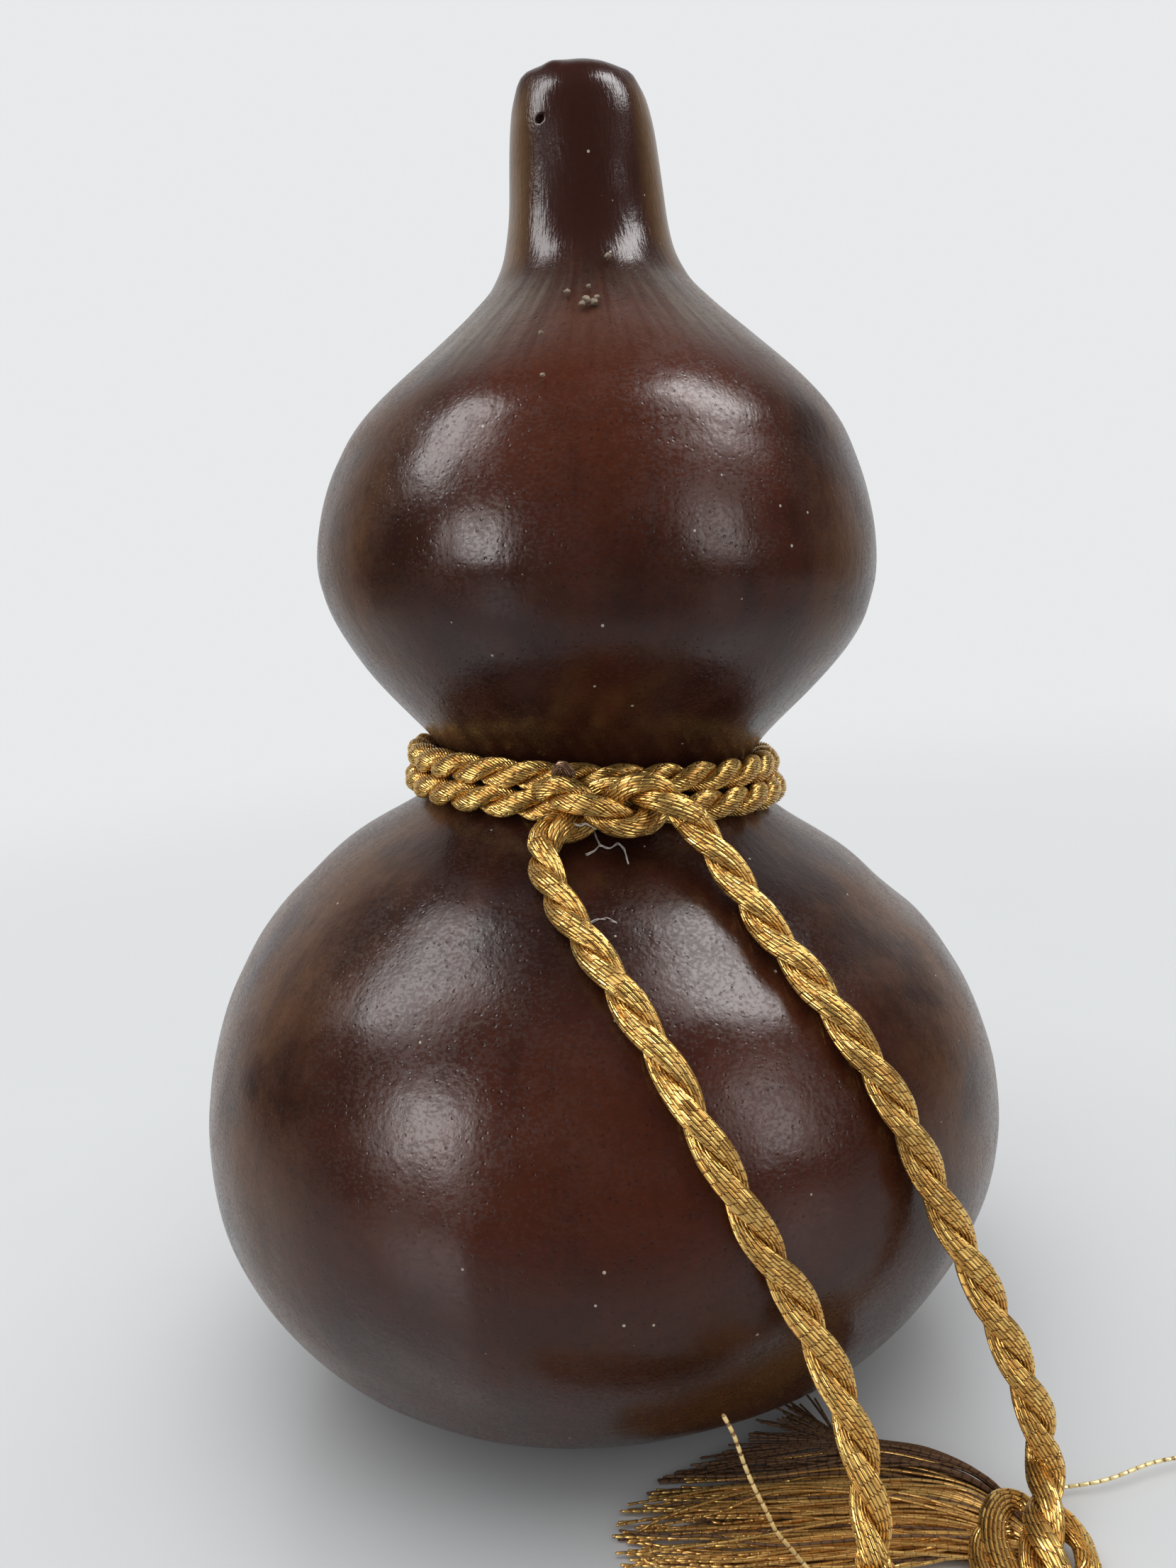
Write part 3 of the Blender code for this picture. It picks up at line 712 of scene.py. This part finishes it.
def gold_material(name, look):
    """Foil wound round threads: short pieces that catch the light one by one."""
    shade = Shader(bpy.data.materials.new(name))
    thread, length, number, own = shade.strand()
    across = shade.math("SUBTRACT", thread, number)
    run = shade.math("DIVIDE", length, FOIL_LENGTH)
    if not look["tips"]:
        run = shade.plus(run, across, FOIL_SLANT)
        run = shade.plus(run, own, FOIL_SHIFT)
    piece = shade.math("FLOOR", run)
    within = shade.math("SUBTRACT", run, piece)
    place = shade.node("CombineXYZ", {"X": number, "Y": piece}).outputs[0]
    chance = shade.node("TexWhiteNoise", {"Vector": place}, noise_dimensions="2D").outputs["Color"]
    first, second, third = shade.split(chance)
    reach = FOIL_GAP
    vary = third
    if look["tips"]:
        reach = shade.ramp(length, TIP_LENGTH, BEAD_STRETCH, TIP_GAP, FOIL_GAP)
        vary = shade.plus(shade.times(third, 0.3), own, 0.7)
    gap = shade.ramp(shade.math("SUBTRACT", shade.from_edge(within), reach), 0.0, 0.06, 1.0, 0.0)
    # Painted shade darkens the grooves between threads, and the gaps between pieces of foil take the same
    # dark colour
    valley_shade = shade.ramp(shade.from_edge(across), 0.02, 0.26, 1.0, 0.0)
    tone = shade.mix(vary, look["light"], look["deep"])
    for hollow in (valley_shade, gap):
        tone = shade.mix(shade.times(hollow, look["depth"]), tone, look["groove_shade_and_gap"])
    tilt_across = shade.times(shade.off_middle(first), shade.off_middle(across))
    tilt_along = shade.times(shade.off_middle(second), shade.off_middle(within))
    height = shade.plus(shade.times(tilt_across, 0.3), tilt_along, 0.6)
    height = shade.plus(height, gap, -0.05)
    shade.put(shade.main.inputs["Metallic"], look["metal"])
    roughness = shade.ramp(second, 0.0, 1.0, 0.2, 0.36)
    return shade.cover(tone, roughness, shade.bump(height, look["tilt"]))


def brown_material():
    """Threads that have lost their foil: dull brown fibres with a trace of gold."""
    shade = Shader(bpy.data.materials.new("brown_thread"))
    thread, length, _, own = shade.strand()
    place = shade.node("CombineXYZ", {"X": thread, "Y": length}).outputs[0]
    fibre = shade.noise(shade.stretch(place, (6.0, 1.2, 1.0)), 1.0, 4.0)
    run = shade.math("FRACT", shade.math("DIVIDE", length, FOIL_LENGTH))
    gap = shade.ramp(shade.from_edge(run), 0.03, 0.16, 1.0, 0.0)
    tone = shade.mix(fibre, FIBRE_DARK, FIBRE_LIGHT)
    tone = shade.mix(shade.times(own, 0.4), tone, FIBRE_GOLD)
    tone = shade.mix(shade.times(gap, 0.7), tone, FIBRE_GAP)
    shade.put(shade.main.inputs["Specular IOR Level"], 0.2)
    roughness = shade.ramp(fibre, 0.3, 0.7, 0.45, 0.7)
    return shade.cover(tone, roughness, shade.bump(fibre, 0.6, 0.1 * MM))


def gourd_material():
    """Brown lacquer over a grown skin: mottling, streaks, pits, pale streaks, dust, painted side light, and a
    pin hole painted black as its shade.
    """
    shade = Shader(bpy.data.materials.new("lacquered_gourd"))
    skin = shade.attribute("skin")
    place = shade.stretch(shade.node("TexCoord").outputs["Object"], (1.0 / MM, 1.0 / MM, 1.0 / MM))
    height = shade.split(place)[2]
    patch = shade.noise(shade.stretch(skin, (1.0, 1.0, 0.7)), 0.13, 4.0, 0.6)
    streak = shade.noise(shade.stretch(skin, (1.0, 1.0, 0.07)), 0.55, 4.0, 0.65)
    stem = shade.ramp(height, *STEM_START)
    tone = lacquer_tone(shade, skin, height, patch, streak)
    tone = shade.mix(stem, tone, stem_tone(shade, skin, height))
    tone = shade.mix(pale_streak_share(shade, skin, height, streak), tone, SKIN["pale_streak"])
    fine = shade.ramp(shade.noise(place, 0.9), 0.35, 0.7, 0.0, 0.18)
    tone = shade.mix(fine, tone, SKIN["grain"])
    pore = shade.times(pore_share(shade, place), shade.math("SUBTRACT", 1.0, stem))
    tone = shade.mix(shade.times(pore, 0.45), tone, SKIN["pore"])
    speck = speck_share(shade, place)
    tone = shade.mix(shade.times(speck, 0.9), tone, SKIN["dust"])
    # Painted shade: the pin hole is painted near black
    tone = shade.mix(hole_shade_share(shade, place), tone, SKIN["hole"])
    relief = shade.noise(shade.stretch(skin, (1.0, 1.0, 0.6)), 0.75, 2.5, 0.6)
    relief = shade.times(relief, 0.055)
    relief = shade.plus(relief, pore, -0.02)
    relief = shade.plus(relief, speck, 0.05)
    relief = shade.plus(relief, streak, 0.02)
    relief = shade.plus(relief, shade.noise(place, 2.0, 2.0), 0.018)
    shade.put(shade.main.inputs["Specular IOR Level"], SKIN_SPECULAR)
    return shade.cover(tone, skin_roughness(shade, place, patch, stem), shade.bump(relief))


def lacquer_tone(shade, skin, height, patch, streak):
    """Dark brown, redder in front on each bulb, and lighter ochre at both sides, partly the skin's colour and
    partly painted side light.
    """
    around_x, around_y, _ = shade.split(skin)
    broad = shade.noise(shade.stretch(skin, (1.0, 1.0, 0.45)), 0.06)
    tone = shade.mix(shade.ramp(patch, 0.3, 0.72), SKIN["dark"], SKIN["brown"])
    front = shade.ramp(around_y, -30.0, -21.0, 1.0, 0.0)
    bulbs = shade.plus(shade.band(height, *UPPER_WARMTH), shade.band(height, *LOWER_WARMTH), 0.7)
    blotch = shade.times(shade.ramp(broad, 0.56, 0.75, 0.0, 0.7), shade.ramp(height, 16.0, 34.0))
    warm = shade.math("ADD", shade.times(front, bulbs), blotch)
    warm = shade.times(warm, shade.ramp(streak, 0.25, 0.7, 0.35, 1.0))
    tone = shade.mix(shade.math("MINIMUM", warm, 1.0), tone, SKIN["red"])
    # Painted side light: lighter, patchy ochre towards both sides
    side_light = shade.ramp(shade.math("ABSOLUTE", around_x), 16.0, 27.0)
    side_light = shade.times(side_light, shade.ramp(patch, 0.3, 0.65, 0.1, 0.75))
    tone = shade.mix(side_light, tone, SKIN["ochre_and_side_light"])
    return shade.mix(shade.ramp(streak, 0.35, 0.75, 0.0, 0.35), tone, SKIN["dark"])


def stem_tone(shade, skin, height):
    """The stem is lighter at its sides, partly its colour and partly painted side light, but not on its end.
    """
    side_light = shade.ramp(shade.math("ABSOLUTE", shade.split(skin)[0]), 17.0, 28.0)
    side_light = shade.times(side_light, shade.ramp(height, *STEM_TOP, 1.0, 0.0))
    return shade.mix(side_light, SKIN["stem"], SKIN["stem_side_light"])


def pale_streak_share(shade, skin, height, streak):
    """Pale grey streaks round the foot of the stem, fainter in the middle than at the sides."""
    pale_streak = shade.times(shade.band(height, *PALE_STREAK_BAND), shade.ramp(streak, 0.3, 0.7, 0.15, 0.75))
    beside = shade.math("ABSOLUTE", shade.split(skin)[0])
    return shade.times(pale_streak, shade.ramp(beside, 4.0, 20.0, 0.25, 1.0))


def pore_share(shade, place):
    cells = shade.cells(place, PORE_CELLS)
    pore = shade.ramp(cells.outputs["Distance"], 0.1, 0.32, 1.0, 0.0)
    return shade.times(pore, shade.ramp(shade.split(cells.outputs["Color"])[0], 0.35, 0.75))


def speck_share(shade, place):
    cells = shade.cells(place, DUST_CELLS)
    size = shade.ramp(shade.split(cells.outputs["Color"])[1], 0.72, 1.0, 0.0, 0.085)
    return shade.ramp(shade.math("SUBTRACT", size, cells.outputs["Distance"]), 0.0, 0.01)


# Painted shade: share of the near black painted in the pin hole
def hole_shade_share(shade, place):
    distance = shade.node("VectorMath", {0: place, 1: PIN_HOLE}, operation="DISTANCE")
    return shade.ramp(distance.outputs["Value"], 0.45, 0.75, 1.0, 0.0)


def skin_roughness(shade, place, patch, stem):
    """Satin with dull specks, and even on the stem."""
    dull = shade.noise(shade.stretch(place, (1.0, 1.0, 1.5)), 1.8, 2.0, 0.6)
    dull = shade.ramp(shade.plus(dull, shade.noise(place, 0.17, 2.0), 0.45), 0.66, 0.84)
    rough = shade.plus(shade.ramp(patch, 0.3, 0.7, 0.19, 0.24), dull, DULLNESS)
    to_stem = shade.math("SUBTRACT", STEM_ROUGHNESS, rough)
    return shade.math("ADD", rough, shade.times(stem, to_stem))


def pale_material(name, colours):
    """Dry pale fibre or crumb."""
    shade = Shader(bpy.data.materials.new(name))
    grain = shade.noise(shade.node("TexCoord").outputs["Object"], GRAIN_SCALE, 4.0)
    normal = shade.bump(grain, 0.6, 0.1 * MM)
    return shade.cover(shade.mix(grain, *colours), shade.ramp(grain, 0.3, 0.7, 0.5, 0.75), normal)


def wall_profile():
    """Height, radius and length of each ring of the gourd, from under it to the stem's end."""
    radii = np.linspace(DIMPLE_MIDDLE, FOOT_INNER_RADIUS, DIMPLE_RINGS)
    dimple = np.stack([DIMPLE_DEPTH * (1.0 - (radii / FOOT_INNER_RADIUS) ** 2), radii], axis=1)
    dense = spline(WALL, WALL_SAMPLES)
    dense[:, 0] = np.maximum(dense[:, 0], 0.0)
    lengths = lengths_along(dense)
    spots = list(np.arange(0.0, lengths[-1] - WALL_REST, GOURD_STEP))
    hole = float(np.interp(PIN_HOLE[2], dense[:, 0], lengths))
    spots += list(np.arange(hole - PIN_HOLE_REACH, hole + PIN_HOLE_REACH, FINE_STEP))
    spots = np.array(sorted(spots))
    spots = spots[np.concatenate([[True], np.diff(spots) > LEAST_STEP])]
    wall = np.stack([np.interp(spots, lengths, column) for column in dense.T], axis=1)
    return np.vstack([dimple, wall])


def swelling(value, middle, reach):
    """A smooth swelling of height 1 round the middle."""
    return math.exp(-((value - middle) / reach) ** 2)


def skin_relief(point, height, angle):
    """How far the grown skin stands off the plain turned shape."""
    calm = min(max(height / CALM_FOOT, 0.0), 1.0)
    relief = sum(rise * noise.noise(Vector(point) / size) for rise, size in SWELLS)
    across = RIBS["count"] * math.cos(angle)
    along = RIBS["count"] * math.sin(angle)
    ribs = RIBS["rise"] * swelling(height, RIBS["height"], RIBS["spread"]) + RIBS["least"]
    relief += ribs * noise.noise(Vector((across, along, height / RIBS["length"])))
    turn = (angle - STREAK_RIB["angle"] + math.pi) % (2 * math.pi) - math.pi
    streak = STREAK_RIB["rise"] * swelling(turn, 0.0, STREAK_RIB["width"])
    relief += streak * swelling(height, STREAK_RIB["height"], STREAK_RIB["spread"])
    for middle, reach, rise, side in FULLER:
        share = (0.5 + 0.5 * side * math.cos(angle)) ** 2 if side else 1.0
        relief += share * rise * swelling(height, middle, reach)
    return calm * relief


def make_gourd(material):
    profile = wall_profile()
    angle = 2 * np.pi * np.arange(GOURD_SIDES) / GOURD_SIDES
    rings = []
    skin = []
    run = lengths_along(profile)
    for (height, radius), length in zip(profile, run):
        ring = on_slice(height, radius, angle)
        relief = np.array([skin_relief(point, height, turn) for point, turn in zip(ring, angle)])
        relief *= min(radius / CALM_MIDDLE, 1.0)
        rings.append(ring + relief[:, None] * unit(ring - on_slice(height, 0.0, angle)))
        skin.append(np.stack([
            SKIN_RADIUS * np.cos(angle), SKIN_RADIUS * np.sin(angle), np.full(GOURD_SIDES, length),
        ], axis=1))
    rings = np.array(rings)
    raise_lumps(rings)
    sink_pin_hole(rings)
    surface = Surface()
    surface.add(rings, np.arange(GOURD_SIDES + 1.0), run)
    gourd = surface.make("gourd_skin", material, "gourd")
    layer = gourd.data.attributes.new("skin", "FLOAT_VECTOR", "POINT")
    layer.data.foreach_set("vector", np.array(skin, np.float32).ravel())
    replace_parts(gourd, "gourd")


def raise_lumps(rings):
    core = np.array([lean_at(STEM_END)[0], 0.0, STEM_END - LUMP_CORE_DEPTH])
    for place, radius, height in LUMPS:
        distance = np.linalg.norm(rings - np.array(place), axis=2)
        rise = height * np.exp(-(distance / radius) ** 2)
        rings += rise[:, :, None] * unit(np.array(place) - core)


def sink_pin_hole(rings):
    centre = np.array(PIN_HOLE)
    inward = -unit(away_from_gourd(centre))
    distance = np.linalg.norm(rings - centre, axis=2)
    share = np.clip(1.0 - distance / PIN_HOLE_RADIUS, 0.0, 1.0)
    rings += (PIN_HOLE_DEPTH * np.sqrt(share))[:, :, None] * inward


def make_waist_cord(material):
    for number, (height, radius) in enumerate(TURNS):
        count = round(2 * math.pi * radius / WAIST_LAY["step"])
        angle = 2 * np.pi * np.arange(count) / count
        across = radius * np.cos(angle)
        line = np.stack([
            TURN_CENTRE + across, radius * np.sin(angle), height - TURN_SLOPE * across,
        ], axis=1)
        surface = Surface()
        add_cord(surface, line, WAIST_LAY, number + 1, closed=True)
        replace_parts(surface.make(f"waist_turn_{number + 1}", material, "waist_cord"), "waist_cord")
    surface = Surface()
    line = even(spline(KNOT_OVER, CORD_SAMPLES), KNOT_LAY["step"])
    add_cord(surface, line, KNOT_LAY, KNOT_SEED)
    for side, lay in TAIL_LAYS.items():
        line, first, _ = whole_end(side)
        add_cord(surface, line, lay, CORD_SEEDS[side], last=first + 1)
    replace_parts(surface.make("waist_knot", material, "waist_cord"), "waist_cord")


def make_tuft(material):
    """A worn end of the cord that stands up behind the knot."""
    surface = Surface()
    line = even(spline(KNOT_TUFT, CORD_SAMPLES), TUFT_STEP)
    add_bundle(surface, line, TUFT_RADIUS, TUFT_SEED)
    surface.make("knot_tuft", material, "waist_cord")


def whole_end(side):
    """One end of the cord from inside the knot to inside its tassel, and the tail's part of it."""
    step = TAIL_LAYS[side]["step"]
    tail = even(spline(TAILS[side], CORD_SAMPLES), step)
    leads = KNOT_LEADS[side]
    lead = spline(np.vstack([leads, tail[JOIN_POINTS]]), CORD_SAMPLES)
    lead = even(lead[:len(leads) * CORD_SAMPLES + 1], step)[:-1]
    end = tassel_place(TASSELS[side], TASSEL_CORD_END)
    run = spline(np.vstack([tail[-1 - JOIN_POINTS[::-1]], end[1:]]), CORD_SAMPLES)
    run = even(run[(len(JOIN_POINTS) - 1) * CORD_SAMPLES:], step)[1:]
    return np.vstack([lead, tail, run]), len(lead), len(lead) + len(tail)


def make_tail(side, material):
    line, first, last = whole_end(side)
    surface = Surface()
    add_cord(surface, line, TAIL_LAYS[side], CORD_SEEDS[side], first=first, last=last)
    tail = surface.make(f"tail_{side}", material, f"cord_tail_{side}")
    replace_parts(tail, f"cord_tail_{side}")
    return tail, line[first:last]


def tassel_place(tassel, points):
    """From a tassel's own measures to the shared frame, both in millimetres."""
    x, y = tassel["place"]
    turn = math.radians(tassel["heading"])
    along, across, height = np.asarray(points, float).T
    return np.stack([
        x + along * math.cos(turn) - across * math.sin(turn),
        y + along * math.sin(turn) + across * math.cos(turn),
        height,
    ], axis=-1)


def fringe_route(tassel, side, rise):
    """A thread's route: side runs from -1 at the fringe's back edge to 1 at its front edge."""
    back, middle, front = (np.array(edge) for edge in FRINGE_EDGES)
    route = middle + ((front if side > 0.0 else back) - middle) * abs(side)
    route[:, 1] = middle[:, 1] + (route[:, 1] - middle[:, 1]) * tassel["spread"]
    calm = np.linspace(1.0, FRINGE_CALM, len(route))
    route[:, 2] = np.maximum(route[:, 2] + rise * calm, FRINGE_LEAST_HEIGHT)
    return route


def fringe_line(tassel, side, chance):
    """One thread of the fringe, which strays more and more from its route."""
    route = fringe_route(tassel, side, chance.uniform(*FRINGE_RISE))
    for point in range(1, len(route)):
        route[point, 1] += chance.gauss(0.0, FRINGE_STRAY + FRINGE_STRAY_GROWTH * point)
    route[-1] = route[-2] + (route[-1] - route[-2]) * chance.uniform(*FRINGE_LAST_SPAN)
    return even(spline(tassel_place(tassel, route), FRINGE_SAMPLES), FRINGE_STEP)


def fanned_line(tassel, chance):
    """A dark thread that strays from the fringe's back edge."""
    share = chance.random()
    tip = [near + (far - near) * share for near, far in zip(*FANNED_TIPS)]
    tip[0] += chance.uniform(*FANNED_LENGTHS)
    route = np.array(FANNED_ROOT + [tip])
    route[2:, 1] += chance.gauss(0.0, FANNED_STRAY)
    return even(spline(tassel_place(tassel, route), FRINGE_SAMPLES), FRINGE_STEP)


def tassel_knot(side, tassel):
    """The cord's end and the loops that hold it."""
    knot = Surface()
    line, _, last = whole_end(side)
    add_cord(knot, line, TAIL_LAYS[side], CORD_SEEDS[side], first=last - 1)
    for number, loop in enumerate(TASSEL_LOOPS):
        line = even(spline(tassel_place(tassel, loop), CORD_SAMPLES), BUNDLE_STEP)
        radius = BUNDLE_RADIUS if number < THICK_LOOPS else THIN_BUNDLE_RADIUS
        add_bundle(knot, line, radius, LOOP_SEED + number)
    return knot


def laid_line(route):
    return even(spline(route, LAID_SAMPLES), LAID_STEP)


def tassel_fringe(side, tassel):
    """The threads of the fringe, those with their foil and the dark ones."""
    chance = random.Random(FRINGE_SEED)
    shiny = Surface()
    dull = Surface()
    threads = tassel["threads"]
    for number in range(threads):
        place = 2.0 * (number + chance.random()) / threads - 1.0
        dark_share = next(share for end, share in DARK_SHARES if place < end)
        target = dull if chance.random() < dark_share else shiny
        add_thread(target, fringe_line(tassel, place, chance), THREAD_RADIUS, number)
    for number in range(tassel["fanned"]):
        add_thread(dull, fanned_line(tassel, chance), THREAD_RADIUS, threads + number)
    if side == "right":
        for target, routes in ((shiny, CROSSING_THREADS), (dull, DULL_CROSSING_THREADS)):
            for number, route in enumerate(routes, LAID_NUMBERS):
                add_thread(target, laid_line(route), THREAD_RADIUS, number)
    return shiny, dull


def make_tassel(side, tassel, gold, fringe_gold, brown):
    slot = f"tassel_{side}"
    shiny, dull = tassel_fringe(side, tassel)
    pieces = [
        tassel_knot(side, tassel).make(f"tassel_{side}_knot", gold, slot),
        shiny.make(f"tassel_{side}_gold", fringe_gold, slot),
        dull.make(f"tassel_{side}_brown", brown, slot),
    ]
    for piece in pieces:
        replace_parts(piece, f"tassel_{side}")
    return pieces


def make_loose_threads(material):
    surface = Surface()
    for number, route in enumerate(LOOSE_THREADS):
        add_thread(surface, laid_line(route), LOOSE_RADIUS, number, LOOSE_STRETCH)
    surface.make("loose_threads", material, "tassel_right")


def make_fluff(material):
    surface = Surface()
    chance = random.Random(FRINGE_SEED)
    for number, route in enumerate(FLUFF):
        for _ in range(FLUFF_STRANDS):
            strand = [[value + chance.gauss(0.0, FLUFF_STRAY) for value in point] for point in route]
            line = even(spline(strand, FLUFF_SAMPLES), FLUFF_STEP)
            add_thread(surface, line, FLUFF_RADIUS * chance.uniform(*FLUFF_THICKNESS), number)
    surface.make("knot_fluff", material, "waist_cord")


def make_crumbs(material):
    """Small dried crumbs, each a lump with its own dents."""
    build = bmesh.new()
    for number, (place, size) in enumerate(CRUMBS):
        fresh = bmesh.ops.create_icosphere(build, subdivisions=3, radius=size)["verts"]
        for vertex in fresh:
            apart = Vector((CRUMB_APART * number, 0.0, 0.0))
            dent = noise.noise(vertex.co / size * CRUMB_DENTS + apart)
            vertex.co *= 1.0 + CRUMB_DENT_DEPTH * dent
            vertex.co.z *= CRUMB_FLATNESS
            vertex.co = (vertex.co + Vector(place)) * MM
    mesh = bpy.data.meshes.new("stem_crumbs")
    build.to_mesh(mesh)
    build.free()
    mesh.shade_smooth()
    add_piece("stem_crumbs", mesh, material)


def make_table():
    """A pale glossy table that fades out into the backdrop."""
    corners = [(-1, -1), (1, -1), (1, 1), (-1, 1)]
    mesh = bpy.data.meshes.new("table")
    points = [(x * TABLE_REACH, y * TABLE_REACH, 0.0) for x, y in corners]
    mesh.from_pydata(points, [], [(0, 1, 2, 3)])
    mesh.materials.append(table_material())
    table = bpy.data.objects.new("table", mesh)
    bpy.context.scene.collection.objects.link(table)


def table_material():
    shade = Shader(bpy.data.materials.new("table"))
    place = shade.node("TexCoord").outputs["Object"]
    smudge = shade.noise(place, 18.0, 4.0)
    tone = shade.mix(smudge, *TABLE_COLOURS)
    front = shade.ramp(shade.split(place)[1], *TABLE_SHADE, 0.75, 0.0)
    tone = shade.mix(front, tone, TABLE_SHADE_COLOUR)
    shade.put(shade.main.inputs["Coat Weight"], TABLE_COAT)
    shade.put(shade.main.inputs["Coat Roughness"], TABLE_COAT_ROUGHNESS)
    distance = shade.node("VectorMath", {"Vector": place}, operation="LENGTH").outputs["Value"]
    fade = shade.ramp(distance, *TABLE_FADE)
    clear = shade.node("BsdfTransparent").outputs[0]
    table = shade.node("MixShader", {0: fade, 1: shade.main.outputs[0], 2: clear})
    shade.put(shade.tree.nodes["Material Output"].inputs[0], table.outputs[0])
    return shade.cover(tone, shade.ramp(smudge, 0.3, 0.7, 0.3, 0.36))


def add_light(name, place, size, power):
    data = bpy.data.lights.new(name, "AREA")
    data.shape = "RECTANGLE"
    data.size, data.size_y = size
    data.energy = power
    light = bpy.data.objects.new(name, data)
    light.location = place
    light.rotation_mode = "QUATERNION"
    towards = Vector(LIGHT_TARGET) - Vector(place)
    light.rotation_quaternion = towards.to_track_quat("-Z", "Y")
    bpy.context.scene.collection.objects.link(light)
    return light


def make_lights():
    for name, panel in PANELS.items():
        add_light(name, *panel).visible_diffuse = False
    add_light("fill", *FILL).visible_glossy = False


def make_backdrop():
    """An even pale surround, which gloss shows darker in front of the gourd than behind it."""
    world = bpy.data.worlds.new("world")
    bpy.context.scene.world = world
    bpy.context.scene.view_settings.view_transform = "Standard"
    shade = Shader(world, "Background")
    ahead = shade.split(shade.node("TexCoord").outputs["Generated"])[1]
    gloss = shade.ramp(ahead, *BACKDROP_SPREAD, *BACKDROP_GLOSS)
    ray = shade.node("LightPath").outputs
    strength = shade.blend(ray["Is Glossy Ray"], BACKDROP_LIGHT, gloss)
    strength = shade.blend(ray["Is Camera Ray"], strength, BACKDROP_SEEN)
    shade.put(shade.main.inputs["Strength"], strength)
    shade.put(shade.main.inputs["Color"], BACKDROP_COLOUR)


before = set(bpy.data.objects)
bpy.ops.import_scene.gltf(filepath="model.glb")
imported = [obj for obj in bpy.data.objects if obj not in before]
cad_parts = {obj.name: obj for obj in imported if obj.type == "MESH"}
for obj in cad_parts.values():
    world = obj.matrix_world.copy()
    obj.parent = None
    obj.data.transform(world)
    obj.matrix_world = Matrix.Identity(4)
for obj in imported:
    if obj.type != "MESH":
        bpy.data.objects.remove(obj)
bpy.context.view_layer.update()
make_camera()
gold = gold_material("gold_thread", GOLD_THREAD)
fringe_gold = gold_material("fringe_thread", FRINGE_THREAD)
brown = brown_material()
tails = {side: make_tail(side, gold) for side in TAILS}
for side, tassel in TASSELS.items():
    pieces = make_tassel(side, tassel, gold, fringe_gold, brown)
make_waist_cord(gold)
make_tuft(gold_material("worn_thread", WORN_THREAD))
make_loose_threads(gold_material("loose_thread", LOOSE_THREAD))
make_fluff(pale_material("fluff", FLUFF_COLOURS))
make_crumbs(pale_material("crumb", CRUMB_COLOURS))
make_gourd(gourd_material())
make_table()
make_lights()
make_backdrop()
